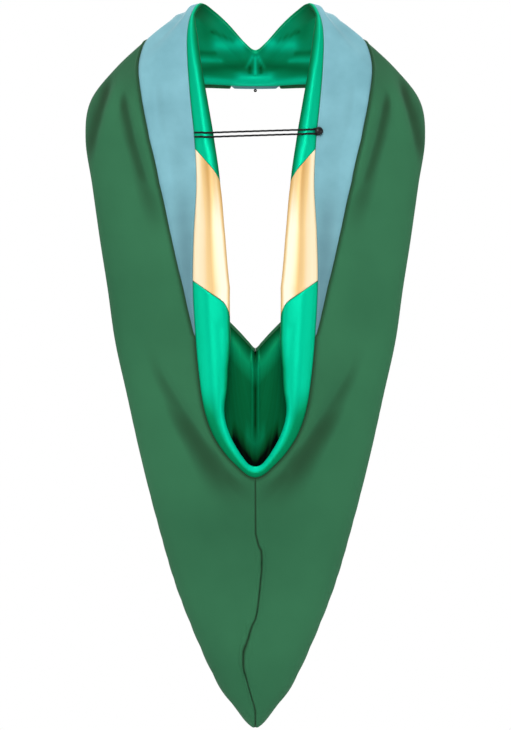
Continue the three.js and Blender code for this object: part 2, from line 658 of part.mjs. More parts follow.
add("shell_left", new THREE.Mesh(shellGeometry(-1), shellCloth));
add("shell_right", new THREE.Mesh(shellGeometry(1), shellCloth));
add("edging", new THREE.Mesh(edgingGeometry(), edgingCloth));
add("lining_neck", new THREE.Mesh(liningGeometry(-chevronTop, chevronTop), liningSatin));
add("chevron_left", new THREE.Mesh(liningGeometry(-chevronBottom, -chevronTop), chevronSatin));
add("chevron_right", new THREE.Mesh(liningGeometry(chevronTop, chevronBottom), chevronSatin));
add("lining_lower", new THREE.Mesh(liningGeometry(chevronBottom, LAP - chevronBottom), liningSatin));
add("cord", new THREE.Mesh(cordGeometry(), cordCloth));
add("button", buttonMesh(buttonGloss));
add("front_loop", frontLoopMesh(cordCloth));

export default group;
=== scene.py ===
# %% [markdown]
# # An academic hood, dressed for the photograph
# The hood is worn on the back. A narrow band lies at the throat, two peaks stand beside the neck, and a
# long pointed back hangs down. Its lining is turned out over the neck edge in a soft roll.
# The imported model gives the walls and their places. This file lays finer cloth over them.

import math

import bmesh
import bpy
import numpy as np
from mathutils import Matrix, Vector


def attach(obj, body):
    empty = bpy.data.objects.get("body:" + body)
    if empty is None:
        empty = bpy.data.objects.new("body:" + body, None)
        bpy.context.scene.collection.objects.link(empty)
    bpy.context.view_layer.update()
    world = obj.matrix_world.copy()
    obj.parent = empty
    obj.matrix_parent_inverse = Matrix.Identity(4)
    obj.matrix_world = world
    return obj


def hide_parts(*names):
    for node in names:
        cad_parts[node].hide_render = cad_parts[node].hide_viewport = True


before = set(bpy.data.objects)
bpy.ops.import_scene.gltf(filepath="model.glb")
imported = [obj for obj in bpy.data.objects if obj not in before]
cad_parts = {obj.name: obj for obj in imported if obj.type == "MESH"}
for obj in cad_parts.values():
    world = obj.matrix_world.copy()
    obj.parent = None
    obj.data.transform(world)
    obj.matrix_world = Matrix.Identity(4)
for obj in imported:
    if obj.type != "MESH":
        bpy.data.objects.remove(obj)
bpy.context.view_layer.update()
print("nodes:", sorted(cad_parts))

# %% [markdown]
# ## The camera
# The photograph looks straight at the back, level with the middle of the hood, from some metres away.
# A long lens keeps the outline true, so the camera stands far off and sees 1.073 m of height.

# %% Camera
PICTURE_HEIGHT = 1.0729  # metres of the hood's plane that the picture shows from top to bottom
CAMERA_DISTANCE = 25.0
CAMERA_HEIGHT = -0.4945
HOOD_PLANE = -0.075  # the mean place of the outline, front to back
PICTURE_MIDDLE = 0.0003  # how far right of the hood's middle the picture's middle is

camera = bpy.data.objects.new("camera", bpy.data.cameras.new("camera"))
bpy.context.collection.objects.link(camera)
camera.location = (PICTURE_MIDDLE, HOOD_PLANE - CAMERA_DISTANCE, CAMERA_HEIGHT)
camera.rotation_euler = (math.radians(90), 0, 0)
camera.data.sensor_fit = "VERTICAL"
camera.data.sensor_height = 36
camera.data.lens = 36 * CAMERA_DISTANCE / PICTURE_HEIGHT
camera.data.clip_end = 200
bpy.context.scene.camera = camera
print("lens", round(camera.data.lens, 1), "mm")

# %% [markdown]
# ## The driving sizes
# They are those of the solid model, in millimetres, so the fine cloth lies where the walls are. Only the
# edging, the roll, the throat and the slope beside each peak are a few millimetres fuller, as photographed.

# %% Sizes
MM = 0.001
HOOD_LENGTH = 1067
HOOD_WIDTH = 500
NECK_WIDTH = 202
OPENING_LENGTH = 700
BODY_EDGE_DROP = 510
FRONT_REACH = 105
BACK_REACH = 156
PEAK_HEIGHT = 40
OUTER_FOLD = 13
FOLD_BEND = 0.62
EDGING_WIDTH = 75
ROLL_WIDTH = 54
ROLL_RADIUS = 6
ROLL_JOIN = 26
AFTER_JOIN = 1.6
CHEVRON_DROP = 217
CHEVRON_HEIGHT = 194
LINING_SET_BACK = 5
SHELL_THICKNESS = 1.5
LINING_THICKNESS = 1.1
LAYER_GAP = 3
LINING_DEPTH = SHELL_THICKNESS + LAYER_GAP + LINING_THICKNESS / 2
SEAM_GAP = 0.3

# One row for each section from the centre front over the peak and down the back to the tip:
# neck edge, outer fold and body edge as shares, then turn, fold, near, far, edging and roll
SECTIONS = [
    ((0.0, 0.74, 0.1035), (0.0, 0.92, 0.093), (0.0, 1.0, 0.246), 0.0, 0.8, 0.05, 0.0, 1.0, 0.09),
    ((0.16, 0.69, 0.0885), (0.096, 0.89, 0.088), (0.148, 0.99, 0.245), 0.0, 0.9, 0.1, 0.05, 1.0, 0.09),
    ((0.4, 0.51, 0.0505), (0.236, 0.79, 0.07), (0.3, 0.96, 0.243), 0.0, 1.1, 0.2, 0.1, 1.0, 0.09),
    ((0.62, 0.29, 0.021), (0.362, 0.6, 0.046), (0.42, 0.91, 0.247), 0.0, 1.4, 0.3, 0.2, 1.0, 0.09),
    ((0.82, 0.06, 0.002), (0.45, 0.33, 0.0195), (0.528, 0.83, 0.256), 0.1, 1.7, 0.3, 0.4, 1.0, 0.09),
    ((0.945, -0.12, 0.026), (0.516, 0.1, 0.0278), (0.636, 0.7, 0.27), 0.3, 1.9, 0.2, 0.5, 1.0, 0.1),
    ((1.0, -0.28, 0.07), (0.636, 0.02, 0.05), (0.74, 0.52, 0.294), 0.6, 2.0, 0.3, 0.5, 1.08, 0.27),
    ((0.99, -0.42, 0.136), (0.824, -0.02, 0.091), (0.84, 0.32, 0.326), 0.8, 1.9, 0.4, 0.4, 1.04, 0.37),
    ((0.95, -0.53, 0.207), (0.972, -0.08, 0.137), (0.91, 0.12, 0.4), 1.0, 1.6, 0.5, 0.2, 0.99, 0.46),
    ((0.89, -0.64, 0.293), (1.0, -0.21, 0.19), (0.93, -0.08, 0.49), 1.0, 1.25, 0.5, 0.0, 0.91, 0.54),
    ((0.863, -0.74, 0.386), (0.96, -0.37, 0.253), (0.87, -0.25, 0.56), 1.0, 1.05, 0.5, 0.0, 0.735, 0.65),
    ((0.9, -0.815, 0.493), (0.914, -0.51, 0.328), (0.79, -0.37, 0.602), 1.0, 1.0, 0.5, 0.0, 0.44, 0.85),
    ((0.912, -0.88, 0.6), (0.868, -0.61, 0.396), (0.7, -0.47, 0.648), 1.0, 1.0, 0.5, 0.0, 0.19, 1.0),
    ((0.871, -0.92, 0.71), (0.824, -0.675, 0.468), (0.61, -0.53, 0.692), 1.0, 1.0, 0.45, 0.0, 0.0, 0.94),
    ((0.822, -0.945, 0.786), (0.756, -0.705, 0.54), (0.5, -0.57, 0.747), 1.0, 1.0, 0.4, 0.0, 0.0, 0.8),
    ((0.752, -0.96, 0.853), (0.68, -0.73, 0.62), (0.386, -0.6, 0.806), 1.0, 1.0, 0.4, 0.0, 0.0, 0.74),
    ((0.634, -0.975, 0.905), (0.58, -0.75, 0.713), (0.276, -0.62, 0.86), 1.0, 1.0, 0.4, 0.0, 0.0, 0.62),
    ((0.455, -0.985, 0.947), (0.448, -0.765, 0.817), (0.174, -0.635, 0.912), 1.0, 1.0, 0.4, 0.0, 0.0, 0.5),
    ((0.238, -0.995, 0.98), (0.248, -0.775, 0.928), (0.086, -0.645, 0.956), 1.0, 0.97, 0.4, 0.0, 0.0, 0.36),
    ((0.11, -1.0, 0.995), (0.108, -0.78, 0.976), (0.038, -0.648, 0.982), 1.0, 0.95, 0.4, 0.0, 0.0, 0.3),
    ((0.0, -1.0, 1.0), (0.0, -0.78, 1.0), (0.0, -0.65, 1.0), 1.0, 0.95, 0.4, 0.0, 0.0, 0.3),
]
LAST = len(SECTIONS) - 1
LAP = 2 * LAST
print("sections", len(SECTIONS))

# %% [markdown]
# ## The surface of the cloth
# Seven rails run round the neck, from the neck edge to the body edge. A section is a smooth curve through
# the seven rails at one ring place. Every piece of cloth is a patch of this surface, pushed in by its
# depth, so the pieces lie on each other as sewn layers do.

# %% Helpers for smooth steps and lengths
def smoothstep(value, low, high):
    t = np.clip((value - low) / (high - low), 0, 1)
    return t * t * (3 - 2 * t)


def hump(value, middle, width):
    """1 at the middle, fading smoothly to 0 on both sides."""
    return np.exp(-((value - middle) / width) ** 2)


def unit(vectors):
    return vectors / np.maximum(np.linalg.norm(vectors, axis=-1, keepdims=True), 1e-12)


def placed(share, half_width, drop):
    x, y, z = share
    return np.array([x * half_width, y * (FRONT_REACH if y > 0 else BACK_REACH), PEAK_HEIGHT - z * drop])


# %% The seven rails
MIRROR = np.array([-1.0, 1.0, 1.0])
FORWARD = np.array([0.0, 1.0, 0.0])
seams = [placed(row[0], NECK_WIDTH / 2, OPENING_LENGTH) for row in SECTIONS]
ridges = [placed(row[1], HOOD_WIDTH / 2, HOOD_LENGTH) for row in SECTIONS]
hems = [placed(row[2], HOOD_WIDTH / 2, BODY_EDGE_DROP) for row in SECTIONS]
TURN, FOLD, NEAR, FAR, EDGING, ROLL = (np.array(column) for column in zip(*[row[3:] for row in SECTIONS]))


def section_points(index):
    seam, ridge, hem = seams[index], ridges[index], hems[index]
    before = ridges[1] * MIRROR if index == 0 else ridges[index - 1]
    after = ridges[LAST - 1] * MIRROR if index == LAST else ridges[index + 1]
    ring = unit(after - before)
    through = unit(unit(hem - seam) * (1 - TURN[index]) + FORWARD * TURN[index])
    out = unit(np.cross(ring, through))
    fold = FOLD[index] * OUTER_FOLD
    near_turn = ridge - through * fold - out * FOLD_BEND * fold
    far_turn = ridge + through * fold - out * FOLD_BEND * fold
    near_out = unit(np.cross(ring, near_turn - seam))
    far_out = unit(np.cross(ring, hem - far_turn))
    near_panel = (seam + near_turn) / 2 + near_out * NEAR[index] * OUTER_FOLD
    far_panel = (far_turn + hem) / 2 + far_out * FAR[index] * OUTER_FOLD
    return np.array([seam, near_panel, near_turn, ridge, far_turn, far_panel, hem])


right_side = [section_points(index) for index in range(LAST + 1)]
left_side = [points * MIRROR for points in right_side[LAST - 1:0:-1]]
RAILS = np.array(right_side + left_side)
print("rails", RAILS.shape)


# %% A smooth curve through guiding points, for many rings at once
def ring_blend(table, ring):
    """The closed smooth curve through the rows of table at any ring places."""
    lap = np.mod(ring, LAP)
    low = np.floor(lap).astype(int) % LAP
    t = (lap - np.floor(lap))[:, None, None]
    p0, p1, p2, p3 = (table[(low + step) % LAP] for step in (-1, 0, 1, 2))
    t1, t2 = (p2 - p0) / 2, (p3 - p1) / 2
    return p1 + t1 * t + (3 * (p2 - p1) - 2 * t1 - t2) * t ** 2 + (2 * (p1 - p2) + t1 + t2) * t ** 3


def even_curve(points):
    """The pieces of the evenly paced smooth curve through each row of guiding points."""
    first = 2 * points[:, :1] - points[:, 1:2]
    last = 2 * points[:, -1:] - points[:, -2:-1]
    p = np.concatenate([first, points, last], axis=1)
    step = np.sqrt(np.linalg.norm(p[:, 1:] - p[:, :-1], axis=-1, keepdims=True))
    d0, d1, d2 = step[:, :-2], step[:, 1:-1], step[:, 2:]
    d1 = np.where(d1 < 1e-4, 1, d1)
    d0 = np.where(d0 < 1e-4, d1, d0)
    d2 = np.where(d2 < 1e-4, d1, d2)
    p0, p1, p2, p3 = p[:, :-3], p[:, 1:-2], p[:, 2:-1], p[:, 3:]
    t1 = ((p1 - p0) / d0 - (p2 - p0) / (d0 + d1) + (p2 - p1) / d1) * d1
    t2 = ((p2 - p1) / d1 - (p3 - p1) / (d1 + d2) + (p3 - p2) / d2) * d1
    return np.stack([p1, t1, -3 * p1 + 3 * p2 - 2 * t1 - t2, 2 * p1 - 2 * p2 + t1 + t2], axis=2)


def on_curve(pieces, share):
    """Points of those curves at shares from 0 to 1, one share for each row."""
    count = pieces.shape[1]
    at = np.clip(share, 0, 1) * count
    low = np.minimum(np.floor(at).astype(int), count - 1)
    t = (at - low)[:, None]
    c = pieces[np.arange(len(share)), low]
    return c[:, 0] + c[:, 1] * t + c[:, 2] * t ** 2 + c[:, 3] * t ** 3


# %% [markdown]
# ## Folds
# Cloth that hangs from two shoulders falls in a few broad folds that run from the shoulder down to the
# opening. Each fold is a straight ridge or a dent with soft sides, given by its two ends as they are seen
# from behind. Both sides of the hood have the same ones.

# %% Broad folds
BROAD_FOLDS = [  # from x, z drop, to x, z drop, width and height in millimetres
    (197, 139, 157, 320, 32, -6), (170, 181, 132, 384, 28, 4),
    (150, 512, 60, 704, 38, -6), (110, 533, 30, 747, 26, 4),
]


def relief(x, drop, folds, fade=1.0):
    """The height that a table of folds adds at places seen from behind. A greater fade softens the ends."""
    total = np.zeros_like(x)
    for x0, z0, x1, z1, width, height in folds:
        length = math.hypot(x1 - x0, z1 - z0)
        ux, uz = (x1 - x0) / length, (z1 - z0) / length
        down = (x - x0) * ux + (drop - z0) * uz
        aside = (x - x0) * uz - (drop - z0) * ux
        beyond = np.maximum(0, np.maximum(-down, down - length))
        total += height * np.exp(-(aside ** 2 + (beyond / fade) ** 2) / width ** 2)
    return total


# %% The outside of the hood
def cloth_point(ring, across):
    ring, across = np.broadcast_arrays(np.asarray(ring, float), np.asarray(across, float))
    shape = ring.shape
    rings, places = ring.ravel(), np.clip(across.ravel(), 0, 1)
    unique, back = np.unique(rings, return_inverse=True)
    pieces = even_curve(ring_blend(RAILS, unique))
    points = on_curve(pieces[back], places)
    nearness = 1 - smoothstep(places, 0.28, 0.46)
    lower = smoothstep(-points[:, 1], 0.1 * BACK_REACH, 0.6 * BACK_REACH)
    settled = smoothstep(places, 0.02, 0.12)
    height = relief(np.abs(points[:, 0]), PEAK_HEIGHT - points[:, 2], BROAD_FOLDS)
    points[:, 1] -= nearness * lower * settled * height
    return points.reshape(shape + (3,))


def frame_of(surface, ring, across):
    """The outward direction and the two directions along the surface."""
    place = np.clip(across, 0.004, 0.996)
    along_ring = unit(surface(ring + 0.02, place) - surface(ring - 0.02, place))
    along_section = unit(surface(ring, place + 0.004) - surface(ring, place - 0.004))
    return unit(np.cross(along_ring, along_section)), along_ring, along_section


def depth_point(ring, across, depth):
    outward = frame_of(cloth_point, ring, across)[0]
    depth = np.asarray(depth, float)
    return cloth_point(ring, across) - outward * (depth[..., None] if depth.ndim else depth)


# %% Distances on the cloth, measured from the neck edge
SAMPLES = 80
LENGTH_STEP = 0.05
length_rings = np.arange(-LAST - 1, LAP + 1, LENGTH_STEP)
sample_places = np.linspace(0, 1, SAMPLES + 1)
sampled = cloth_point(length_rings[:, None], sample_places[None, :])
runs = np.linalg.norm(np.diff(sampled, axis=1), axis=-1)
LENGTHS = np.concatenate([np.zeros((len(length_rings), 1)), np.cumsum(runs, axis=1)], axis=1)


def lengths_at(ring):
    at = (np.asarray(ring, float) - length_rings[0]) / LENGTH_STEP
    low = np.clip(np.floor(at).astype(int), 0, len(length_rings) - 2)
    part = (at - low)[..., None]
    return LENGTHS[low] * (1 - part) + LENGTHS[low + 1] * part


def across_at(ring, distance):
    ring, distance = np.broadcast_arrays(np.asarray(ring, float), np.asarray(distance, float))
    table = lengths_at(ring.ravel())
    wanted = np.clip(distance.ravel(), 0, table[:, -1])
    low = np.clip((table < wanted[:, None]).sum(axis=1) - 1, 0, SAMPLES - 1)
    rows = np.arange(len(wanted))
    part = (wanted - table[rows, low]) / np.maximum(table[rows, low + 1] - table[rows, low], 1e-9)
    return ((low + part) / SAMPLES).reshape(ring.shape)


def section_length(ring):
    return lengths_at(ring)[..., -1]


def blended(column, ring):
    side = np.abs(np.mod(np.asarray(ring, float) + LAST, LAP) - LAST)
    return np.interp(side, np.arange(LAST + 1), column)


print("section lengths, mm:", [round(float(section_length(r))) for r in (0, 5, 10, 15, 20)])

# %% [markdown]
# ## The wandering seam
# Two pieces of the dark cloth meet down the centre of the back. Below the opening the seam isn't straight:
# its thread is a little tighter than the cloth, so it snakes from side to side and puckers.

# %% Centre back seam
SEAM_WANDER = [  # share of the way from the opening to the tip, and millimetres to the right
    (0.0, 0), (0.22, 0.5), (0.27, 5), (0.3, 9.5), (0.37, 9.5), (0.46, 6), (0.54, 2), (0.59, -6),
    (0.67, -12), (0.72, -16), (0.8, -16), (0.86, -6), (0.9, 0), (1.0, 0),
]


centre_run = lengths_at(np.array([float(LAST)]))[0]
to_tip = float(np.interp(0.5, sample_places, centre_run))


def seam_share(across):
    """How far down the centre back a place lies, from 0 at the opening to 1 at the tip."""
    return np.clip(np.interp(across, sample_places, centre_run) / to_tip, 0, 1)


def seam_wander(across):
    return np.interp(seam_share(across), *zip(*SEAM_WANDER))


def half_ring(ring):
    """The ring place counted from the centre front on either side, 0 to LAST, with its sign."""
    return np.where(ring > LAST, LAP - ring, ring)


def ring_per_mm(across):
    gap = cloth_point(LAST + 0.5, across) - cloth_point(LAST - 0.5, across)
    return 1 / np.linalg.norm(gap, axis=-1)


def drifted(ring, across):
    """The rings beside the centre back follow the wandering seam."""
    near = smoothstep(np.abs(half_ring(ring)), LAST - 1.5, LAST)
    return ring - near * seam_wander(across) * ring_per_mm(across)


# %% [markdown]
# ## The roll of the lining
# The satin is sewn to the neck edge, turned out over it and folded back inside. The curve of the roll goes
# out from the edge, round a soft fold and back under, and its rows lie aslant as the bias of the cloth does.

# %% The roll's curve
def roll_point(ring, share):
    ring, share = np.broadcast_arrays(np.asarray(ring, float), np.asarray(share, float))
    rings, shares = ring.ravel(), share.ravel()
    unique, back = np.unique(np.round(rings, 5), return_inverse=True)
    edge = cloth_point(unique, 0)
    outward, _, aside = frame_of(cloth_point, unique, np.zeros_like(unique))
    width = (ROLL_WIDTH * blended(ROLL, unique))[:, None]
    radius = np.minimum(ROLL_RADIUS, 0.4 * width)
    half = LINING_THICKNESS / 2

    def spot(inward, depth):
        return edge - aside * inward - outward * depth

    pieces = even_curve(np.stack([
        spot(0.9, half),
        spot(0.45 * width, half - 0.06 * width),
        spot(width - radius, half + 0.1 * radius),
        spot(width, half + radius),
        spot(width - radius, half + 1.9 * radius),
        spot(0.35 * width, LINING_DEPTH + 1.1 * radius),
        depth_point(unique, across_at(unique, ROLL_JOIN), LINING_DEPTH),
        depth_point(unique, across_at(unique, AFTER_JOIN * ROLL_JOIN), LINING_DEPTH),
    ], axis=1))
    return on_curve(pieces[back], np.clip(shares, 0, 1) * 6 / 7).reshape(ring.shape + (3,))


def roll_slant(ring):
    side = np.abs(ring)
    spacing = np.linalg.norm(cloth_point(side + 0.5, 0) - cloth_point(side - 0.5, 0), axis=-1)
    length = 2 * ROLL_WIDTH * blended(ROLL, side) + ROLL_JOIN
    ease = 1 - 0.4 * smoothstep(side, 10.6, 13.6)
    return smoothstep(side, 5, 10) * (1 - smoothstep(side, 14, 19)) * ease * length / spacing


fine_rings = np.arange(5, LAST, 0.005)
edge_drops = PEAK_HEIGHT - cloth_point(fine_rings, 0)[:, 2]


def ring_at_drop(drop):
    return float(np.interp(drop, edge_drops, fine_rings))


def row_at_drop(drop):
    starts = fine_rings - roll_slant(fine_rings)
    return float(fine_rings[np.argmax((starts >= ring_at_drop(drop)) & (fine_rings > 8))])


chevron_top = row_at_drop(CHEVRON_DROP)
chevron_bottom = row_at_drop(CHEVRON_DROP + CHEVRON_HEIGHT)
print("chevron rings", round(chevron_top, 2), round(chevron_bottom, 2))

# %% [markdown]
# ## From a grid of points to a piece of cloth
# A piece of cloth is a closed thin slab. The grid of its outer face comes first, then that of its inner face,
# and a narrow rounded rim joins them. Each corner also keeps its place on the flat cloth as a UV, so the
# weave follows the cloth round every fold. A second value at each corner, its tone, is painted light and
# shade: it says how light or how shaded the cloth looks there, such as in a crease or beside a turned edge.

# %% The slab maker
RIM_OUT = 0.35  # how far the rim's middle stands out, as a share of the thickness


def cloth_slab(name, front, back, flat, tone):
    rows, columns = front.shape[:2]
    count = rows * columns
    index = np.arange(count).reshape(rows, columns)
    rim = np.concatenate([index[:-1, 0], index[-1, :-1], index[:0:-1, -1], index[0, :0:-1]])
    outer, inner = front.reshape(-1, 3), back.reshape(-1, 3)
    middle = (outer[rim] + inner[rim]) / 2
    inside = np.clip(np.stack([rim // columns, rim % columns], axis=1), 1, [rows - 2, columns - 2])
    away = unit(middle - (outer + inner)[inside[:, 0] * columns + inside[:, 1]] / 2)
    thickness = np.linalg.norm(outer[rim] - inner[rim], axis=1, keepdims=True)
    middle = middle + away * thickness * RIM_OUT
    points = np.concatenate([outer, inner, middle]) * MM
    a, b, c, d = index[:-1, :-1], index[1:, :-1], index[1:, 1:], index[:-1, 1:]
    face = np.stack([a, b, c, d], axis=-1).reshape(-1, 4)
    after, mid = np.roll(rim, -1), 2 * count + np.arange(len(rim))
    mid_after = np.roll(mid, -1)
    faces = np.concatenate([
        face, face[:, ::-1] + count,
        np.stack([after, rim, mid, mid_after], axis=1),
        np.stack([mid_after, mid, rim + count, after + count], axis=1),
    ])
    mesh = bpy.data.meshes.new(name)
    mesh.from_pydata(points.tolist(), [], faces.tolist())
    mesh.polygons.foreach_set("use_smooth", np.ones(len(faces), bool))
    uv = np.concatenate([flat.reshape(-1, 2), flat.reshape(-1, 2), flat.reshape(-1, 2)[rim]])
    layer = mesh.uv_layers.new(name="flat_cloth")
    layer.data.foreach_set("uv", uv[faces.ravel()].astype(np.float32).ravel() * MM)
    tone = tone.ravel()
    attribute = mesh.attributes.new("tone", "FLOAT", "POINT")
    attribute.data.foreach_set("value", np.concatenate([tone, tone, tone[rim]]).astype(np.float32))
    mesh.update()
    piece = bpy.data.objects.new(name, mesh)
    bpy.context.collection.objects.link(piece)
    print(name, "faces", len(faces), "size mm", np.round((points.max(0) - points.min(0)) / MM).tolist())
    return piece


def flat_area(points):
    """The area of a grid of points, in square metres."""
    u = points[1:, :-1] - points[:-1, :-1]
    v = points[:-1, 1:] - points[:-1, :-1]
    return float(np.linalg.norm(np.cross(u, v), axis=-1).sum()) * MM * MM


def flat_places(points):
    """Where each point lies on the flat cloth: how far round, and how far across."""
    step = np.linalg.norm(np.diff(points, axis=1), axis=-1)
    across = np.concatenate([np.zeros((len(points), 1)), np.cumsum(step, axis=1)], axis=1)
    run = np.linalg.norm(np.diff(points, axis=0), axis=-1).mean(axis=1)
    round_it = np.concatenate([[0], np.cumsum(run)])[:, None] + np.zeros_like(across)
    return np.stack([round_it, across], axis=-1)


def lay(name, nodes, rings, columns, at, tone_at):
    """Makes a slab with its faces at(rings, columns, side) and its tones, painted light and shade,
    tone_at(rings, columns).
    """
    front, back = at(rings, columns, 0), at(rings, columns, 1)
    middle = (front + back) / 2
    piece = cloth_slab(name, front, back, flat_places(middle), tone_at(rings, columns))
    area = flat_area(middle)
    length = max(float(np.linalg.norm(np.diff(middle, axis=axis), axis=-1).sum(axis=axis).max()) * MM
                 for axis in (0, 1))
    sheets.append((piece, nodes, area, (area / (CUT_FILL * length), length)))
    return piece


CUT_FILL = 0.7  # the share of its rectangle of cloth that such a tapering piece takes up
sheets = []

# %% [markdown]
# ## The cord
# A thin black cord is doubled into one loop. Both ends are sewn into the neck edge on the left. The loop
# crosses the opening, goes round the shank of a button on the right edge and keeps the hood from slipping.
# It is made as a tube of three twisted strands, because a plain round tube looks like wire.

# %% The cord's route
CORD_DIAMETER = 2.3
CORD_SPACING = 6.2
CORD_FALL = 4.5
CORD_CLEARANCE = 0.3
BUTTON_DIAMETER = 12.6
BUTTON_DOME = 4.2
BUTTON_SHANK = 6.2
BUTTON_ROOM = 1.7
BUTTON_DROP = 192
BUTTON_INSET = 1.5

button_ring = np.array([ring_at_drop(BUTTON_DROP)])
button_foot = cloth_point(button_ring, across_at(button_ring, BUTTON_INSET))[0]
button_out, _, button_aside = (v[0] for v in frame_of(cloth_point, button_ring, np.zeros(1)))


def cord_on_roll(side, drop, share):
    ring, at = np.array([side * ring_at_drop(drop)]), np.array([share])
    outward = frame_of(roll_point, ring, at)[0][0]
    return roll_point(ring, at)[0] - outward * (LINING_THICKNESS / 2 + CORD_CLEARANCE + CORD_DIAMETER / 2)


def cord_strand(offset):
    left = [cord_on_roll(-1, BUTTON_DROP + CORD_FALL + offset, s) for s in (0.02, 0.1, 0.18, 0.26)]
    right = [cord_on_roll(1, BUTTON_DROP + offset, s) for s in (0.26, 0.18, 0.1)]
    between = [left[-1] + (right[0] - left[-1]) * s for s in (0.25, 0.5, 0.75)]
    return left + between + right


turn_radius = BUTTON_SHANK / 2 + CORD_CLEARANCE + CORD_DIAMETER / 2
down_edge = np.cross(button_aside, button_out)
turn = [button_foot + button_out * (CORD_CLEARANCE + CORD_DIAMETER / 2)
        + button_aside * turn_radius * math.cos(angle) + down_edge * turn_radius * math.sin(angle)
        for angle in np.radians([-90, -45, 0, 45, 90])]
cord_points = np.array(cord_strand(-CORD_SPACING / 2) + turn + cord_strand(CORD_SPACING / 2)[::-1])
CORD_STEPS = 560
cord_path = on_curve(np.repeat(even_curve(cord_points[None]), CORD_STEPS + 1, axis=0),
                     np.linspace(0, 1, CORD_STEPS + 1))

# %% The twisted cord
CORD_SIDES = 14
CORD_FULLNESS = 1.3  # the soft strands are fuller than the solid cord they replace
TWIST = 0.9  # turns of the three strands for each centimetre

tangent = unit(np.gradient(cord_path, axis=0))
cord_across = unit(np.cross(tangent, FORWARD))
cord_raised = np.cross(cord_across, tangent)
run = np.concatenate([[0], np.cumsum(np.linalg.norm(np.diff(cord_path, axis=0), axis=1))])[:, None]
angle = np.linspace(0, 2 * math.pi, CORD_SIDES, endpoint=False)[None, :]
swell = 0.93 + 0.07 * np.cos(3 * angle + run * TWIST * 2 * math.pi / 10)
radius = CORD_DIAMETER / 2 * CORD_FULLNESS * swell
rings = (cord_path[:, None] + cord_across[:, None] * (np.cos(angle) * radius)[..., None]
         + cord_raised[:, None] * (np.sin(angle) * radius)[..., None])
cord_mesh = bmesh.new()
corners = [[cord_mesh.verts.new(Vector(p * MM)) for p in ring] for ring in rings]
for low, high in zip(corners, corners[1:]):
    for i in range(CORD_SIDES):
        j = (i + 1) % CORD_SIDES
        cord_mesh.faces.new((low[i], low[j], high[j], high[i])).smooth = True
cord_mesh.faces.new(corners[0][::-1])
cord_mesh.faces.new(corners[-1])
bmesh.ops.recalc_face_normals(cord_mesh, faces=cord_mesh.faces)
data = bpy.data.meshes.new("doubled_cord")
cord_mesh.to_mesh(data)
cord_mesh.free()
doubled_cord = bpy.data.objects.new("doubled_cord", data)
bpy.context.collection.objects.link(doubled_cord)
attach(doubled_cord, "root")
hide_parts("cord")
[tuple(p * MM) for p in cord_path[::7]]
print("cord faces", len(data.polygons))

# %% [markdown]
# ## The edging
# One strip of pale smooth cloth lies along the whole neck edge, on the outside. It is widest on the
# shoulders and runs out beside the opening. Its outer side is turned under the dark cloth.

# %% The edging's strip
EDGING_LEAST = 1.2  # the strip ends where it would get narrower than this
run_out = (EDGING_WIDTH * blended(EDGING, fine_rings) < EDGING_LEAST) & (fine_rings > 8)
edging_end = float(fine_rings[np.argmax(run_out)])


def edging_width(ring):
    return np.minimum(EDGING_WIDTH * blended(EDGING, ring), section_length(ring))


def edging_at(rings, columns, side):
    ring, share = np.meshgrid(rings, columns, indexing="ij")
    width = edging_width(ring) - SEAM_GAP
    distance = width * share
    tuck = 0.9 * smoothstep(distance, width - 5, width) * smoothstep(np.abs(ring), 1, 3)
    return depth_point(ring, across_at(ring, distance), tuck + side * SHELL_THICKNESS)


EDGING_SHADES = [  # painted shade of soft creases on the strip, and painted light where the height is below 0, as it is seen from behind
    (143, 135, 139, 175, 8, 0.16), (118, 180, 112, 270, 14, 0.1), (104, 330, 96, 470, 14, 0.3),
    (168, 60, 150, 100, 10, -0.12), (158, 90, 128, 260, 6, -0.12),
]


def edging_tone(rings, columns):
    points = edging_at(rings, columns, 0)
    drop = PEAK_HEIGHT - points[..., 2]
    # painted shade: darker towards the lower end, plus the painted creases of EDGING_SHADES
    return 0.35 * smoothstep(drop, 230, 420) + relief(np.abs(points[..., 0]), drop, EDGING_SHADES, 3.0)


neck_edging = lay("neck_edging", ["edging"], np.linspace(-edging_end, edging_end, 420),
                  np.linspace(0, 1, 36), edging_at, edging_tone)

# %% [markdown]
# ## The dark outer cloth
# The two halves of the body hang from the shoulders to the tip. Beside the edging their turned-in edge
# stands a little proud, as two layers and a seam allowance do.

# %% The two halves
TURNED_EDGE = 1.0  # how far the turned edge stands proud beside the edging
FINE_EDGE = 22  # how much cloth beside the turned edge gets narrow columns
CREASE_ROOM = 2.6  # the creases stay within the gap over the lining
shell_start = 1.0
SHELL_FOLDS = [  # creases and their ridges: from x, drop, to x, drop, width and height
    (222, 138, 233, 172, 8, -2.9), (233, 172, 240, 200, 10, -3.0), (208, 140, 222, 190, 10, 2.4),
    (192, 158, 182, 205, 8, -2.8), (182, 205, 168, 250, 9, -2.6), (168, 250, 160, 280, 13, -1.4),
    (176, 170, 158, 240, 11, 2.2), (206, 250, 196, 320, 20, 1.6),
    (128, 572, 100, 624, 14, -1.5), (96, 634, 70, 672, 18, -2.6), (66, 678, 44, 698, 13, -1.9),
    (118, 560, 70, 636, 9, 2.2), (160, 580, 128, 650, 18, 2.2), (62, 646, 34, 684, 6, 1.8),
]


def pucker(ring, across):
    """Small ripples beside the wandering seam, in its lower part."""
    beside = (LAST - np.abs(half_ring(ring))) / np.maximum(ring_per_mm(across), 1e-6)
    down = seam_share(across)
    low = smoothstep(down, 0.15, 0.3) * (1 - smoothstep(down, 0.86, 0.97))
    ripple = np.sin(down * 2 * math.pi * 17) * 1.1 + np.sin(down * 2 * math.pi * 10.5 + 1.3) * 1.2
    welt = 1.2 * hump(beside, 3.6, 2.4) - 1.1 * hump(beside, 0, 1.3)
    return low * hump(beside, 0, 10.0) * ripple + welt * (0.45 + 0.55 * low)


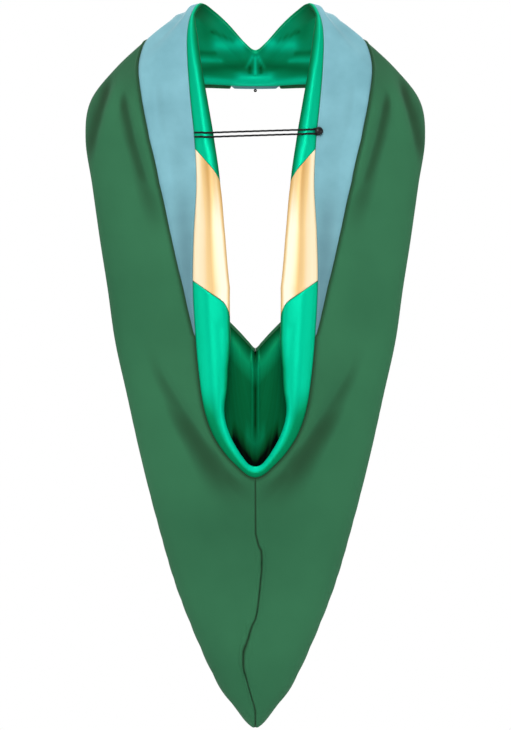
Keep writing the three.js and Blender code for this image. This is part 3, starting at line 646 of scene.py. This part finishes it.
def shell_places(rings, columns):
    """The ring, the place across and the distance from the turned edge of each point of the grid."""
    ring, share = np.meshgrid(rings, columns, indexing="ij")
    base = np.abs(ring)
    whole = section_length(base)
    start = np.where(base > edging_end, 0, edging_width(base) + SEAM_GAP)
    fine = np.minimum(FINE_EDGE, 0.3 * (whole - start))
    distance = np.where(share < 0.2, fine * (share / 0.2) ** 1.5,
                        fine + (whole - start - fine) * (share - 0.2) / 0.8)
    return ring, across_at(base, start + distance), distance


def shell_fall(ring, across, distance):
    """How far the creases move the cloth out, and how far below the peaks each place is."""
    place = cloth_point(ring, across)
    drop = PEAK_HEIGHT - place[..., 2]
    each = [relief(np.abs(place[..., 0]), drop, [fold], 3.0) for fold in SHELL_FOLDS]
    fall = np.minimum.reduce(each) + np.maximum.reduce(each)
    fall = fall * smoothstep(distance, 2, 12) * (1 - smoothstep(across, 0.44, 0.5))
    return CREASE_ROOM * np.tanh(fall / CREASE_ROOM), drop


def shell_at(side_of_body):
    def at(rings, columns, side):
        ring, across, distance = shell_places(rings, columns)
        base = np.abs(ring)
        drift = drifted(ring, across)
        proud = TURNED_EDGE * hump(distance, 3.0, 2.4)
        proud = proud + np.where(base > edging_end - 1, pucker(ring, across), 0)
        fall = shell_fall(drift, across, distance)[0]
        inset = np.where(base >= LAST - 1e-6, side_of_body * 0.2 * ring_per_mm(across), 0)
        return depth_point(drift - inset, across, side * SHELL_THICKNESS - proud * (1 - 0.6 * side) - fall)
    return at


def shell_tone(rings, columns):
    """Painted shade: near 1 beside the turned edge, in the creases, in the dent of the centre back seam and
    towards the shoulder tops, 0 on open cloth; painted light on the crease ridges brings it below 0.
    """
    ring, across, distance = shell_places(rings, columns)
    beside = (LAST - np.abs(ring)) / np.maximum(ring_per_mm(across), 1e-6)
    # painted shadow beside the turned edge
    edge = 0.8 * hump(distance, 0, 4.0) * smoothstep(np.abs(ring), 5.6, 6.4)
    fall, drop = shell_fall(ring, across, distance)
    # painted shade in the creases and towards the shoulder tops, painted light on the crease ridges
    shade = 0.85 * np.clip(-fall / CREASE_ROOM, 0, 1) + 0.3 * (1 - smoothstep(drop, 70, 210))
    lit = 0.15 * np.clip(fall / CREASE_ROOM, 0, 1)
    # painted shade in the dent of the centre back seam
    painted_shade = 0.85 * hump(beside, 0, 1.3)
    return np.maximum.reduce([edge, painted_shade, np.clip(shade, 0, 1)]) - lit


rings_of_half = np.concatenate([np.linspace(shell_start + 0.02, LAST - 1, 300, endpoint=False),
                                np.linspace(LAST - 1, LAST, 40)])
columns_of_half = np.linspace(0, 1, 120)
shell_cloth_right = lay("shell_cloth_right", ["shell_right"], rings_of_half, columns_of_half,
                        shell_at(1), shell_tone)
shell_cloth_left = lay("shell_cloth_left", ["shell_left"], -rings_of_half[::-1], columns_of_half,
                       shell_at(-1), shell_tone)

# %% [markdown]
# ## The satin lining
# Four lengths of satin are sewn end to end: emerald at the neck, a gold chevron on each side, and emerald
# again below. All of them roll over the neck edge and line the inside as far as the body edge.

# %% Folds of the satin
ROLL_FOLDS = [  # on the roll, as it is seen from behind
    (78, 225, 72, 330, 6, -1.0), (66, 250, 60, 420, 8, 1.0), (70, 430, 58, 600, 9, 1.2),
    (84, 100, 74, 210, 6, 0.8), (52, 480, 44, 600, 5, -0.9),
]
BAND_FOLDS = [  # on the inside of the throat band
    (0, 80, 0, 103, 2.4, 2.6), (4, 79, 13, 93, 2.8, 2.2), (56, 48, 21, 60, 6, 2.4), (54, 64, 24, 62, 8, 1.6),
    (81, 85, 54, 85, 5, 1.8), (74, 112, 0, 115, 6, 1.8), (20, 112, 0, 112, 8, 1.2),
]
POCKET_FOLDS = [  # on the far wall inside the opening
    (4.5, 505, 4.5, 640, 1.8, 0.8), (0, 505, 0, 640, 1.5, -0.8), (24, 520, 18, 640, 16, 1.2),
]


def satin_relief(points, place, inner):
    x, drop = np.abs(points[..., 0]), PEAK_HEIGHT - points[..., 2]
    near = smoothstep(-points[..., 1], 10, 50)
    far_front = smoothstep(points[..., 1], 20, 60)
    total = relief(x, drop, ROLL_FOLDS) * near * (1 - smoothstep(place, 0.35, 0.5))
    total += relief(x, drop, BAND_FOLDS) * far_front * smoothstep(place, 1.0, 1.12)
    total += relief(x, drop, POCKET_FOLDS) * inner * smoothstep(drop, 440, 470)
    return total


ROLL_SHARES = 34
INSIDE_COLUMNS = 60
THROAT_SET_BACK = 3.5  # how much further back the satin's edge lies under the throat


def lining_at(rings, columns, side):
    ring, place = np.meshgrid(rings, columns, indexing="ij")
    lift = (side - 0.5) * LINING_THICKNESS
    # the roll
    roll_share = np.clip(place, 0, 1)
    half_side = half_ring(ring)
    sign = np.sign(half_side) * np.where(ring > LAST, -1, 1)
    slanted = ring - (1 - roll_share) * roll_slant(half_side) * sign
    on_roll = roll_point(slanted, roll_share)
    roll_out = frame_of(roll_point, slanted, roll_share)[0]
    # the inside
    start = across_at(ring, ROLL_JOIN)
    front = 1 - smoothstep(np.abs(half_side), 4.2, 6.5)
    limit = across_at(ring, section_length(ring) - LINING_SET_BACK - THROAT_SET_BACK * front)
    across = start + (limit - start) * np.clip(place - 1, 0, 1)
    drift = drifted(ring, across)
    inside = depth_point(drift, across, LINING_DEPTH)
    inside_out = frame_of(cloth_point, drift, across)[0]
    # at the throat the satin spans the fold of the dark cloth instead of following it
    span = front * (place >= 1)
    t = np.clip(place - 1, 0, 1)[..., None]
    first_column, last_column = int((np.asarray(columns) < 1).sum()), len(columns) - 1
    chord = inside[:, first_column:first_column + 1] * (1 - t) + inside[:, last_column:] * t
    inside = inside + (chord - inside) * 0.85 * span[..., None]
    rolled = (place < 1)[..., None]
    points = np.where(rolled, on_roll, inside)
    outward = np.where(rolled, roll_out, inside_out)
    inner = smoothstep(across, 0.5, 0.56) * (place >= 1)
    return points - outward * (lift + satin_relief(points, place, inner))[..., None]


ROLL_TONES = [  # share of the roll's curve; its painted light and shade at the neck, at the waist and at the bottom
    (0.0, 0.5, 0.66, 0.3), (0.05, 0.66, 0.8, 0.36), (0.14, 0.7, 0.84, 0.46), (0.22, 0.72, 0.86, 0.62),
    (0.3, 0.74, 0.84, 0.9), (0.36, 0.6, 0.74, 0.94), (0.42, 0.36, 0.46, 0.94), (0.47, 0.26, 0.32, 0.92),
    (0.5, 0.2, 0.26, 0.84), (0.56, 0.17, 0.22, 0.5), (0.62, 0.15, 0.2, 0.2), (1.0, 0.15, 0.2, 0.2),
]
GOLD_TONES = [  # the same painted light and shade for the chevrons, at their top and at their bottom
    (0.0, 0.75, 0.7), (0.04, 0.9, 0.85), (0.12, 0.5, 0.75), (0.2, 0.3, 0.45), (0.28, 0.45, 0.95),
    (0.36, 0.55, 1.0), (0.42, 0.35, 0.6), (0.5, 0.2, 0.3), (0.6, 0.1, 0.1), (1.0, 0.1, 0.1),
]
BAND_TONES = [  # painted light and shade on the throat band, laid out as its folds are
    (56, 62, 21, 61, 8, 0.34), (56, 46, 21, 58, 4, 0.16), (64, 42, 32, 55, 3, -0.3),
    (82, 18, 72, 44, 9, -0.16), (81, 73, 60, 73, 3.5, -0.22),
    (81, 84, 52, 85, 3.6, 0.22), (81, 97, 12, 92, 7, -0.26),
    (76, 113, 0, 117, 5, 0.4), (20, 110, 0, 110, 9, 0.34), (0, 80, 0, 103, 2.0, 0.42),
    (4, 78, 13, 93, 2.4, 0.3), (8, 95, 8, 101, 3, -0.3),
]
POCKET_LIGHT = 0.16  # the painted shade of the far wall, which little light reaches
OPEN_LIGHT = 0.5  # the painted light inside the shoulders
GAP_DROP = 655  # at the centre, the painted shadow of the gap between the far wall and the roll starts this far down
GAP_SLOPE = 0.55


def between(place, table, first, second, part):
    """A tone from two columns of a table, mixed by part."""
    columns = list(zip(*table))
    return (np.interp(place, columns[0], columns[first]) * (1 - part)
            + np.interp(place, columns[0], columns[second]) * part)


def satin_tone(gold):
    """Painted light and shade of the satin: highlights and shade across the roll and on the throat band's
    folds, shade deep in the pocket and a black painted shadow in the gap.
    """
    def at(rings, columns):
        ring, place = np.meshgrid(rings, columns, indexing="ij")
        points = lining_at(rings, columns, 0)
        x, drop = np.abs(points[..., 0]), PEAK_HEIGHT - points[..., 2]
        # painted highlights and shade across the roll's curve
        if gold:
            roll = between(place, GOLD_TONES, 1, 2, smoothstep(drop, 240, 340))
        else:
            at_bottom = smoothstep(drop, 560, 625)
            roll = between(place, ROLL_TONES, 1, 2, smoothstep(drop, 90, 430)) * (1 - at_bottom)
            roll += between(place, ROLL_TONES, 1, 3, 1) * at_bottom
        throat = smoothstep(points[..., 1], 0, 40)
        # painted light and shade of the throat band's folds
        band = 0.56 + relief(x, drop, BAND_TONES)
        roll = roll * (1 - throat) + band * throat
        from_hem = (2 - place) * section_length(ring)
        # painted shade deep in the pocket, lighter inside the shoulders
        deep = smoothstep(drop, 380, 450) * (0 if gold else 1)
        wall = POCKET_LIGHT * deep + OPEN_LIGHT * (1 - deep)
        # painted light a little above the hem and painted shade at its very edge
        wall += 0.3 * hump(from_hem, 13, 9) - 0.12 * hump(from_hem, 0, 3)
        # painted light on the centre pleat's ridge and painted shade in its dent
        above_patch = 1 - smoothstep(drop, 625, 645)
        wall += 0.12 * (hump(x, 4.5, 1.6) - hump(x, 0, 1.3)) * above_patch
        # a lighter patch just above the gap
        wall += 0.16 * smoothstep(drop, 632, 640) * (1 - smoothstep(x, 16, 22))
        # painted shadow: the far wall goes black where the gap begins
        wall *= 1 - smoothstep(drop + GAP_SLOPE * x, GAP_DROP - 2, GAP_DROP + 2)
        return np.where(place < 1, roll, wall * (1 - throat) + band * throat)
    return at


lining_columns = np.concatenate([
    np.linspace(0, 1, ROLL_SHARES, endpoint=False), np.linspace(1, 2, INSIDE_COLUMNS)])
seam = 0.012  # half the gap between two lengths of satin, in ring places
SATIN = [  # piece, CAD node, first ring, last ring, rows
    ("neck_satin", "lining_neck", -chevron_top, chevron_top, 340),
    ("gold_chevron_right", "chevron_right", chevron_top, chevron_bottom, 110),
    ("gold_chevron_left", "chevron_left", -chevron_bottom, -chevron_top, 110),
    ("lower_satin", "lining_lower", chevron_bottom, LAP - chevron_bottom, 300),
]
satin = {name: lay(name, [node], np.linspace(first + seam, last - seam, rows), lining_columns, lining_at,
                   satin_tone(name.startswith("gold"))) for name, node, first, last, rows in SATIN}

# %% [markdown]
# ## The button and the thread loop
# The button is a small domed shank button. It is turned from a profile, so the dome, its rounded rim and the
# shank come from a few radii. Under the centre front hangs a small loop of thread, a ring made the same way.

# %% Button
def turned(name, profile, sides, place, axis, node):
    """Turns a profile of (radius, height) in millimetres round an axis."""
    rows = [[Vector((r * math.cos(2 * math.pi * i / sides), r * math.sin(2 * math.pi * i / sides), h))
             for i in range(sides)] for r, h in profile]
    shape = bmesh.new()
    turn_to = Vector(axis).to_track_quat("Z", "Y")
    made = [[shape.verts.new((turn_to @ p + Vector(place)) * MM) for p in row] for row in rows]
    for low, high in zip(made, made[1:]):
        for i in range(sides):
            j = (i + 1) % sides
            shape.faces.new((low[i], low[j], high[j], high[i])).smooth = True
    bmesh.ops.remove_doubles(shape, verts=shape.verts, dist=1e-7)
    bmesh.ops.recalc_face_normals(shape, faces=shape.faces)
    mesh = bpy.data.meshes.new(name)
    shape.to_mesh(mesh)
    shape.free()
    piece = bpy.data.objects.new(name, mesh)
    bpy.context.collection.objects.link(piece)
    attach(piece, "root")
    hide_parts(node)
    return piece


lift = CORD_CLEARANCE + CORD_DIAMETER + BUTTON_ROOM
cap = BUTTON_DIAMETER / 2
profile = [(0, CORD_CLEARANCE), (BUTTON_SHANK / 2, CORD_CLEARANCE), (BUTTON_SHANK / 2 - 0.2, lift - 0.3),
           (BUTTON_SHANK / 2 + 0.3, lift), (cap - 0.7, lift), (cap - 0.25, lift + 0.15), (cap, lift + 0.6)]
for angle in np.radians(np.linspace(8, 90, 12)):
    profile.append((cap * math.cos(angle) ** 0.75 if angle < 1.57 else 0,
                    lift + 0.7 + (BUTTON_DOME - 0.7) * math.sin(angle)))
domed_button = turned("domed_button", profile, 40, button_foot, button_out, "button")
print("button at mm", np.round(button_foot, 1))

# %% Thread loop
LOOP_RADIUS = 2.4
LOOP_THREAD = 2.0
low_front = depth_point(np.array([0.0]), np.array([1.0]), SHELL_THICKNESS / 2)[0]
loop_middle = low_front - np.array([0, 0, LOOP_RADIUS])
ring_profile = [(LOOP_RADIUS - LOOP_THREAD / 2 + LOOP_THREAD / 2 * math.cos(a),
                 LOOP_THREAD / 2 * math.sin(a)) for a in np.linspace(0, 2 * math.pi, 13)]
thread_loop = turned("thread_loop", ring_profile, 28, loop_middle, (0, 1, 0), "front_loop")

# %% [markdown]
# ## Materials
# Each finish is made from the cloth's own facts: the weave and its direction, how the threads shine, how
# even the dye is. The weave reads the flat cloth's UV, so it turns with the folds.

# %% Node helper
def add_node(tree, kind, inputs=None, **settings):
    made = tree.nodes.new(kind)
    for key, value in settings.items():
        setattr(made, key, value)
    for key, value in (inputs or {}).items():
        if isinstance(value, bpy.types.NodeSocket):
            tree.links.new(value, made.inputs[key])
        else:
            made.inputs[key].default_value = value
    return made


def start_material(name):
    material = bpy.data.materials.new(name)
    material.use_nodes = True
    tree = material.node_tree
    tree.nodes.clear()
    return material, tree


def flat_cloth(tree):
    return add_node(tree, "ShaderNodeUVMap", uv_map="flat_cloth").outputs[0]


def tone_of(tree):
    return add_node(tree, "ShaderNodeAttribute", attribute_name="tone").outputs["Fac"]


def noise(tree, vector, scale, detail):
    made = add_node(tree, "ShaderNodeTexNoise", {"Vector": vector, "Scale": scale, "Detail": detail})
    return made.outputs["Fac"]


def stretched(tree, vector, scale):
    return add_node(tree, "ShaderNodeMapping", {"Vector": vector, "Scale": scale}).outputs[0]


def shaded(tree, color, in_shade):
    """The cloth's colour, nearer to in_shade where its tone is high: painted shade."""
    return add_node(tree, "ShaderNodeMix", {0: tone_of(tree), 6: color, 7: in_shade},
                    data_type="RGBA").outputs[2]


def rgb(red, green, blue):
    """A colour as it looks on the screen, 0 to 255, as the shader takes it."""
    return tuple((c / 255 / 12.92 if c < 11 else ((c / 255 + 0.055) / 1.055) ** 2.4)
                 for c in (red, green, blue)) + (1.0,)


def tones(tree, factor, dark, light):
    ramp = add_node(tree, "ShaderNodeValToRGB", {"Fac": factor})
    ramp.color_ramp.elements[0].color, ramp.color_ramp.elements[1].color = dark, light
    ramp.color_ramp.elements[0].position, ramp.color_ramp.elements[1].position = 0.3, 0.7
    return ramp.outputs["Color"]


def finish_material(tree, color, bump_height, bump_size, strength, **shader):
    bump = add_node(tree, "ShaderNodeBump", {"Height": bump_height, "Distance": bump_size,
                                             "Strength": strength})
    surface = add_node(tree, "ShaderNodeBsdfPrincipled", {"Base Color": color, "Normal": bump.outputs[0]})
    for key, value in shader.items():
        surface.inputs[key.replace("_", " ")].default_value = value
    add_node(tree, "ShaderNodeOutputMaterial", {"Surface": surface.outputs[0]})
    return surface


# %% [markdown]
# ### Dark body cloth
# The body is a matte twill. Its fine diagonal ribs show only from close by, so they are bump, and a slow
# change of dye keeps the broad panels from looking like plastic. Where its tone is high it is darker:
# that is painted shade.

# %% Body cloth
def twill_cloth(name, dark, light, painted_shade, rib):
    material, tree = start_material(name)
    flat = flat_cloth(tree)
    place = add_node(tree, "ShaderNodeTexCoord").outputs["Object"]
    ribs = add_node(tree, "ShaderNodeTexWave", {"Vector": flat, "Scale": 0.628 / rib, "Distortion": 0.6,
                                                "Detail": 1.0}, bands_direction="DIAGONAL")
    height = add_node(tree, "ShaderNodeMath", {0: ribs.outputs["Fac"], 1: noise(tree, flat, 900.0, 2.0)},
                      operation="ADD")
    dye = noise(tree, place, 5.0, 3.0)
    # the tone mixes the cloth towards the painted shade colour
    color = shaded(tree, tones(tree, dye, dark, light), painted_shade)
    finish_material(tree, color, height.outputs[0], 0.0002, 0.35,
                    Roughness=0.85, Sheen_Weight=0.06, Sheen_Roughness=0.5, Specular_IOR_Level=0.2)
    return material


# the third colour is the painted shade of creases, the turned edge and the seam
body_cloth = twill_cloth("body_cloth", rgb(42, 102, 68), rgb(51, 115, 78), rgb(24, 50, 26), 0.0009)

# %% [markdown]
# ### Edging cloth
# The edging has a short, dense pile that is brushed one way. It looks smooth and soft, so it gets a sheen
# and a very fine grain.

# %% Edging cloth
def brushed_cloth(name, dark, light, in_shade):
    material, tree = start_material(name)
    flat = flat_cloth(tree)
    pile = noise(tree, stretched(tree, flat, (1.0, 0.25, 1.0)), 1500.0, 3.0)
    strokes = noise(tree, flat, 22.0, 4.0)
    # the tone mixes in painted shade
    color = shaded(tree, tones(tree, strokes, dark, light), in_shade)
    finish_material(tree, color, pile,
                    0.0003, 0.3, Roughness=0.6, Sheen_Weight=0.2, Sheen_Roughness=0.35,
                    Specular_IOR_Level=0.3)
    return material


# the third colour is the painted shade on the strip
edging_cloth = brushed_cloth("edging_cloth", rgb(112, 166, 178), rgb(126, 182, 194), rgb(70, 106, 116))

# %% [markdown]
# ### Satin
# Satin is almost all long floating threads on its face, so light slides along them: bright where the cloth
# faces the lamp, deep where it turns away. A part of the colour therefore sits in the gloss, which is what
# the metallic share does, and the gloss is drawn out along the threads. The tone, painted light and shade,
# picks the colour from a painted deep shade to a painted highlight.

# %% Satin
UNEVEN = 0.1  # how much the dye varies


def satin_cloth(name, stops, metal):
    material, tree = start_material(name)
    flat = flat_cloth(tree)
    threads = noise(tree, stretched(tree, flat, (60.0, 2600.0, 1.0)), 1.0, 2.0)
    dye = noise(tree, stretched(tree, flat, (6.0, 45.0, 1.0)), 1.0, 2.0)
    # uneven dye plus the tone's painted light and shade
    dye_and_painted_light = add_node(tree, "ShaderNodeMath", {0: dye, 1: UNEVEN, 2: tone_of(tree)},
                      operation="MULTIPLY_ADD")
    level = add_node(tree, "ShaderNodeMath", {0: dye_and_painted_light.outputs[0], 1: UNEVEN / 2}, operation="SUBTRACT")
    ramp = add_node(tree, "ShaderNodeValToRGB", {"Fac": level.outputs[0]})
    ramp.color_ramp.elements[0].color, ramp.color_ramp.elements[1].color = stops[0][1], stops[-1][1]
    for position, color in stops[1:-1]:
        ramp.color_ramp.elements.new(position).color = color
    surface = finish_material(tree, ramp.outputs["Color"], threads, 0.0001, 0.25,
                              Metallic=metal, Roughness=0.45, Anisotropic=0.4, Specular_IOR_Level=0.04)
    along = add_node(tree, "ShaderNodeTangent", direction_type="UV_MAP", uv_map="flat_cloth")
    tree.links.new(along.outputs[0], surface.inputs["Tangent"])
    return material


# the stops run from a painted deep shade to a painted highlight
emerald_satin = satin_cloth("emerald_satin", [
    (0.0, rgb(0, 6, 3)), (0.1, rgb(0, 82, 40)), (0.5, rgb(0, 146, 96)), (1.0, rgb(0, 222, 176))], 0.4)
# the stops run from a painted deep shade to a painted highlight
gold_satin = satin_cloth("gold_satin", [
    (0.0, rgb(120, 84, 40)), (0.25, rgb(206, 156, 86)), (0.6, rgb(240, 206, 148)),
    (1.0, rgb(255, 250, 226))], 0.16)

# %% [markdown]
# ### Cord, thread and button
# The cord is matt twisted cotton. The button is moulded and glossy, with faint scratches from use.

# %% Cord, thread and button finishes
def thread_finish(name, color, rough=0.7):
    material, tree = start_material(name)
    place = add_node(tree, "ShaderNodeTexCoord").outputs["Object"]
    fibre = noise(tree, place, 2600.0, 3.0)
    darker = tuple(c * 0.7 for c in color[:3]) + (1.0,)
    finish_material(tree, tones(tree, fibre, darker, color), fibre, 0.0002, 0.4,
                    Roughness=rough, Specular_IOR_Level=0.3)
    return material


cord_thread = thread_finish("cord_thread", rgb(16, 15, 18), 0.85)
button_gloss = thread_finish("button_gloss", rgb(20, 16, 18), 0.3)
pale_thread = thread_finish("pale_thread", rgb(132, 186, 200), 0.5)
dark_thread = thread_finish("dark_thread", rgb(34, 78, 46), 0.7)
for piece, material in [
        (neck_edging, edging_cloth), (shell_cloth_right, body_cloth), (shell_cloth_left, body_cloth),
        (satin["neck_satin"], emerald_satin), (satin["lower_satin"], emerald_satin),
        (satin["gold_chevron_right"], gold_satin), (satin["gold_chevron_left"], gold_satin),
        (doubled_cord, cord_thread), (domed_button, button_gloss), (thread_loop, cord_thread)]:
    piece.data.materials.append(material)
print("materials", len(bpy.data.materials))

# %% [markdown]
# ## Stitches
# Rows of small stitches hold the layers. Every stitch is alike, so a tree of Geometry Nodes sets one small
# thread capsule at even steps along each sewing line.

# %% The stitch tree
def stitch_tree():
    tree = bpy.data.node_groups.new("row_of_stitches", "GeometryNodeTree")
    face = tree.interface
    face.new_socket("Geometry", in_out="INPUT", socket_type="NodeSocketGeometry")
    sockets = {}
    for name, value in (("Spacing", 0.003), ("Length", 0.0022), ("Thread", 0.0005)):
        socket = face.new_socket(name, in_out="INPUT", socket_type="NodeSocketFloat")
        socket.default_value = value
        sockets[name] = socket.identifier
    socket = face.new_socket("Material", in_out="INPUT", socket_type="NodeSocketMaterial")
    sockets["Material"] = socket.identifier
    face.new_socket("Geometry", in_out="OUTPUT", socket_type="NodeSocketGeometry")
    start = tree.nodes.new("NodeGroupInput")
    line = add_node(tree, "GeometryNodeMeshToCurve", {"Mesh": start.outputs["Geometry"]})
    steps = add_node(tree, "GeometryNodeResampleCurve", {
        "Curve": line.outputs[0], "Length": start.outputs["Spacing"]}, mode="LENGTH")
    ball = add_node(tree, "GeometryNodeMeshUVSphere", {"Segments": 8, "Rings": 5, "Radius": 0.5})
    size = add_node(tree, "ShaderNodeCombineXYZ", {
        "X": start.outputs["Length"], "Y": start.outputs["Thread"], "Z": start.outputs["Thread"]})
    turn_to = add_node(tree, "FunctionNodeAlignRotationToVector", {
        "Vector": tree.nodes.new("GeometryNodeInputTangent").outputs[0]}, axis="X")
    slight = add_node(tree, "FunctionNodeRandomValue", {"Min": 0.85, "Max": 1.1, "Seed": 7})
    scale = add_node(tree, "ShaderNodeVectorMath", {0: size.outputs[0]}, operation="SCALE")
    tree.links.new(slight.outputs[1], scale.inputs["Scale"])
    placed_balls = add_node(tree, "GeometryNodeInstanceOnPoints", {
        "Points": steps.outputs[0], "Instance": ball.outputs["Mesh"], "Rotation": turn_to.outputs[0],
        "Scale": scale.outputs[0]})
    real = add_node(tree, "GeometryNodeRealizeInstances", {"Geometry": placed_balls.outputs[0]})
    dyed = add_node(tree, "GeometryNodeSetMaterial", {
        "Geometry": real.outputs[0], "Material": start.outputs["Material"]})
    end = tree.nodes.new("NodeGroupOutput")
    tree.links.new(dyed.outputs[0], end.inputs["Geometry"])
    return tree, sockets


STITCH_TREE, STITCH_SOCKETS = stitch_tree()


def sew(name, lines, spacing, length, thread, material):
    """Turns sewing lines, lists of points in millimetres, into one mesh of stitches."""
    guide = bpy.data.meshes.new(name + "_guide")
    starts = np.cumsum([0] + [len(line) for line in lines])
    edges = [(s + i, s + i + 1) for s, line in zip(starts, lines) for i in range(len(line) - 1)]
    guide.from_pydata((np.concatenate(lines) * MM).tolist(), edges, [])
    holder = bpy.data.objects.new(name + "_guide", guide)
    bpy.context.collection.objects.link(holder)
    modifier = holder.modifiers.new("stitches", "NODES")
    modifier.node_group = STITCH_TREE
    for key, value in (("Spacing", spacing), ("Length", length), ("Thread", thread), ("Material", material)):
        modifier[STITCH_SOCKETS[key]] = value * MM if key != "Material" else value
    depsgraph = bpy.context.evaluated_depsgraph_get()
    mesh = bpy.data.meshes.new_from_object(holder.evaluated_get(depsgraph))
    mesh.name = name
    mesh.polygons.foreach_set("use_smooth", np.ones(len(mesh.polygons), bool))
    bpy.data.objects.remove(holder)
    piece = bpy.data.objects.new(name, mesh)
    bpy.context.collection.objects.link(piece)
    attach(piece, "root")
    print(name, "faces", len(mesh.polygons))
    return piece


# %% The sewing lines
def line_on_cloth(rings, distance, depth):
    ring = np.asarray(rings, float)
    return depth_point(ring, across_at(ring, distance(ring)), depth)


edge_rings = np.linspace(-edging_end + 0.3, edging_end - 0.3, 600)
side_rings = np.linspace(shell_start + 0.4, edging_end, 320)
sew("neck_edge_stitches", [line_on_cloth(edge_rings, lambda r: np.full_like(r, 2.0), -0.05)],
    3.0, 2.1, 0.4, pale_thread)
sew("edging_stitches", [
    line_on_cloth(side_rings, lambda r: edging_width(r) + 3.4, -TURNED_EDGE - 0.02),
    line_on_cloth(-side_rings, lambda r: edging_width(r) + 3.4, -TURNED_EDGE - 0.02)],
    3.2, 2.2, 0.4, dark_thread)

# %% [markdown]
# ## Cloth facts
# Each piece of cloth is attached to the root, its part in the model is hidden, and its area and the size it
# was cut to are printed. The measured area of its middle face and the length and width of the strip it is cut
# from give both.

for piece, cad_nodes, area, (width, length) in sheets:
    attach(piece, "root")
    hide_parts(*cad_nodes)
    print(piece.name, "cut", round(width, 3), "x", round(length, 3), "m, area", round(area, 4))

# %% [markdown]
# ## Floor and light
# A round pale floor lies well under the tip. The lamps stand evenly on both sides, as the photograph's folds
# are lit alike left and right: one large soft lamp above the camera's side, two weaker ones beside it and one
# overhead and one in front of the hood. The surroundings are white behind the hood and dimmer on the camera's side, so folds keep shadows.

# %% Floor
FLOOR_HEIGHT = -1.3
FLOOR_RADIUS = 8.0
floor_mesh = bpy.data.meshes.new("studio_floor")
around = [(FLOOR_RADIUS * math.cos(a), FLOOR_RADIUS * math.sin(a), FLOOR_HEIGHT)
          for a in np.linspace(0, 2 * math.pi, 96, endpoint=False)]
floor_mesh.from_pydata(around, [], [list(range(len(around)))])
floor = bpy.data.objects.new("studio_floor", floor_mesh)
bpy.context.collection.objects.link(floor)
pale_paper, paper_tree = start_material("pale_paper")
paper = add_node(paper_tree, "ShaderNodeBsdfPrincipled", {"Base Color": (0.8, 0.8, 0.8, 1), "Roughness": 0.9})
add_node(paper_tree, "ShaderNodeOutputMaterial", {"Surface": paper.outputs[0]})
floor_mesh.materials.append(pale_paper)


# %% Lamps
def soft_lamp(name, place, size, watts):
    lamp = bpy.data.lights.new(name, "AREA")
    lamp.shape, lamp.size, lamp.energy = "DISK", size, watts
    holder = bpy.data.objects.new(name, lamp)
    bpy.context.collection.objects.link(holder)
    holder.location = place
    holder.rotation_euler = (Vector((0, 0, -0.45)) - Vector(place)).to_track_quat("-Z", "Y").to_euler()
    holder.visible_camera = False


soft_lamp("key_lamp", (0.0, -3.4, 1.5), 1.5, 66)
soft_lamp("left_lamp", (-3.0, -2.4, 0.2), 1.2, 20)
soft_lamp("right_lamp", (3.0, -2.4, 0.2), 1.2, 20)
soft_lamp("top_lamp", (0.0, -0.4, 2.2), 1.2, 16)
soft_lamp("front_lamp", (0.0, 3.4, 1.2), 1.5, 30)

# %% Surroundings
world = bpy.data.worlds.new("studio")
bpy.context.scene.world = world
world.use_nodes = True
sky = world.node_tree
sky.nodes.clear()
way = add_node(sky, "ShaderNodeSeparateXYZ", {0: add_node(sky, "ShaderNodeTexCoord").outputs["Generated"]})
level = add_node(sky, "ShaderNodeMapRange", {
    "Value": way.outputs["Y"], "From Min": -0.3, "From Max": 0.7, "To Min": 0.32, "To Max": 1.0},
    interpolation_type="SMOOTHSTEP")
glow = add_node(sky, "ShaderNodeBackground", {"Color": (1, 1, 1, 1), "Strength": level.outputs["Result"]})
add_node(sky, "ShaderNodeOutputWorld", {"Surface": glow.outputs[0]})
bpy.context.scene.view_settings.view_transform = "Standard"
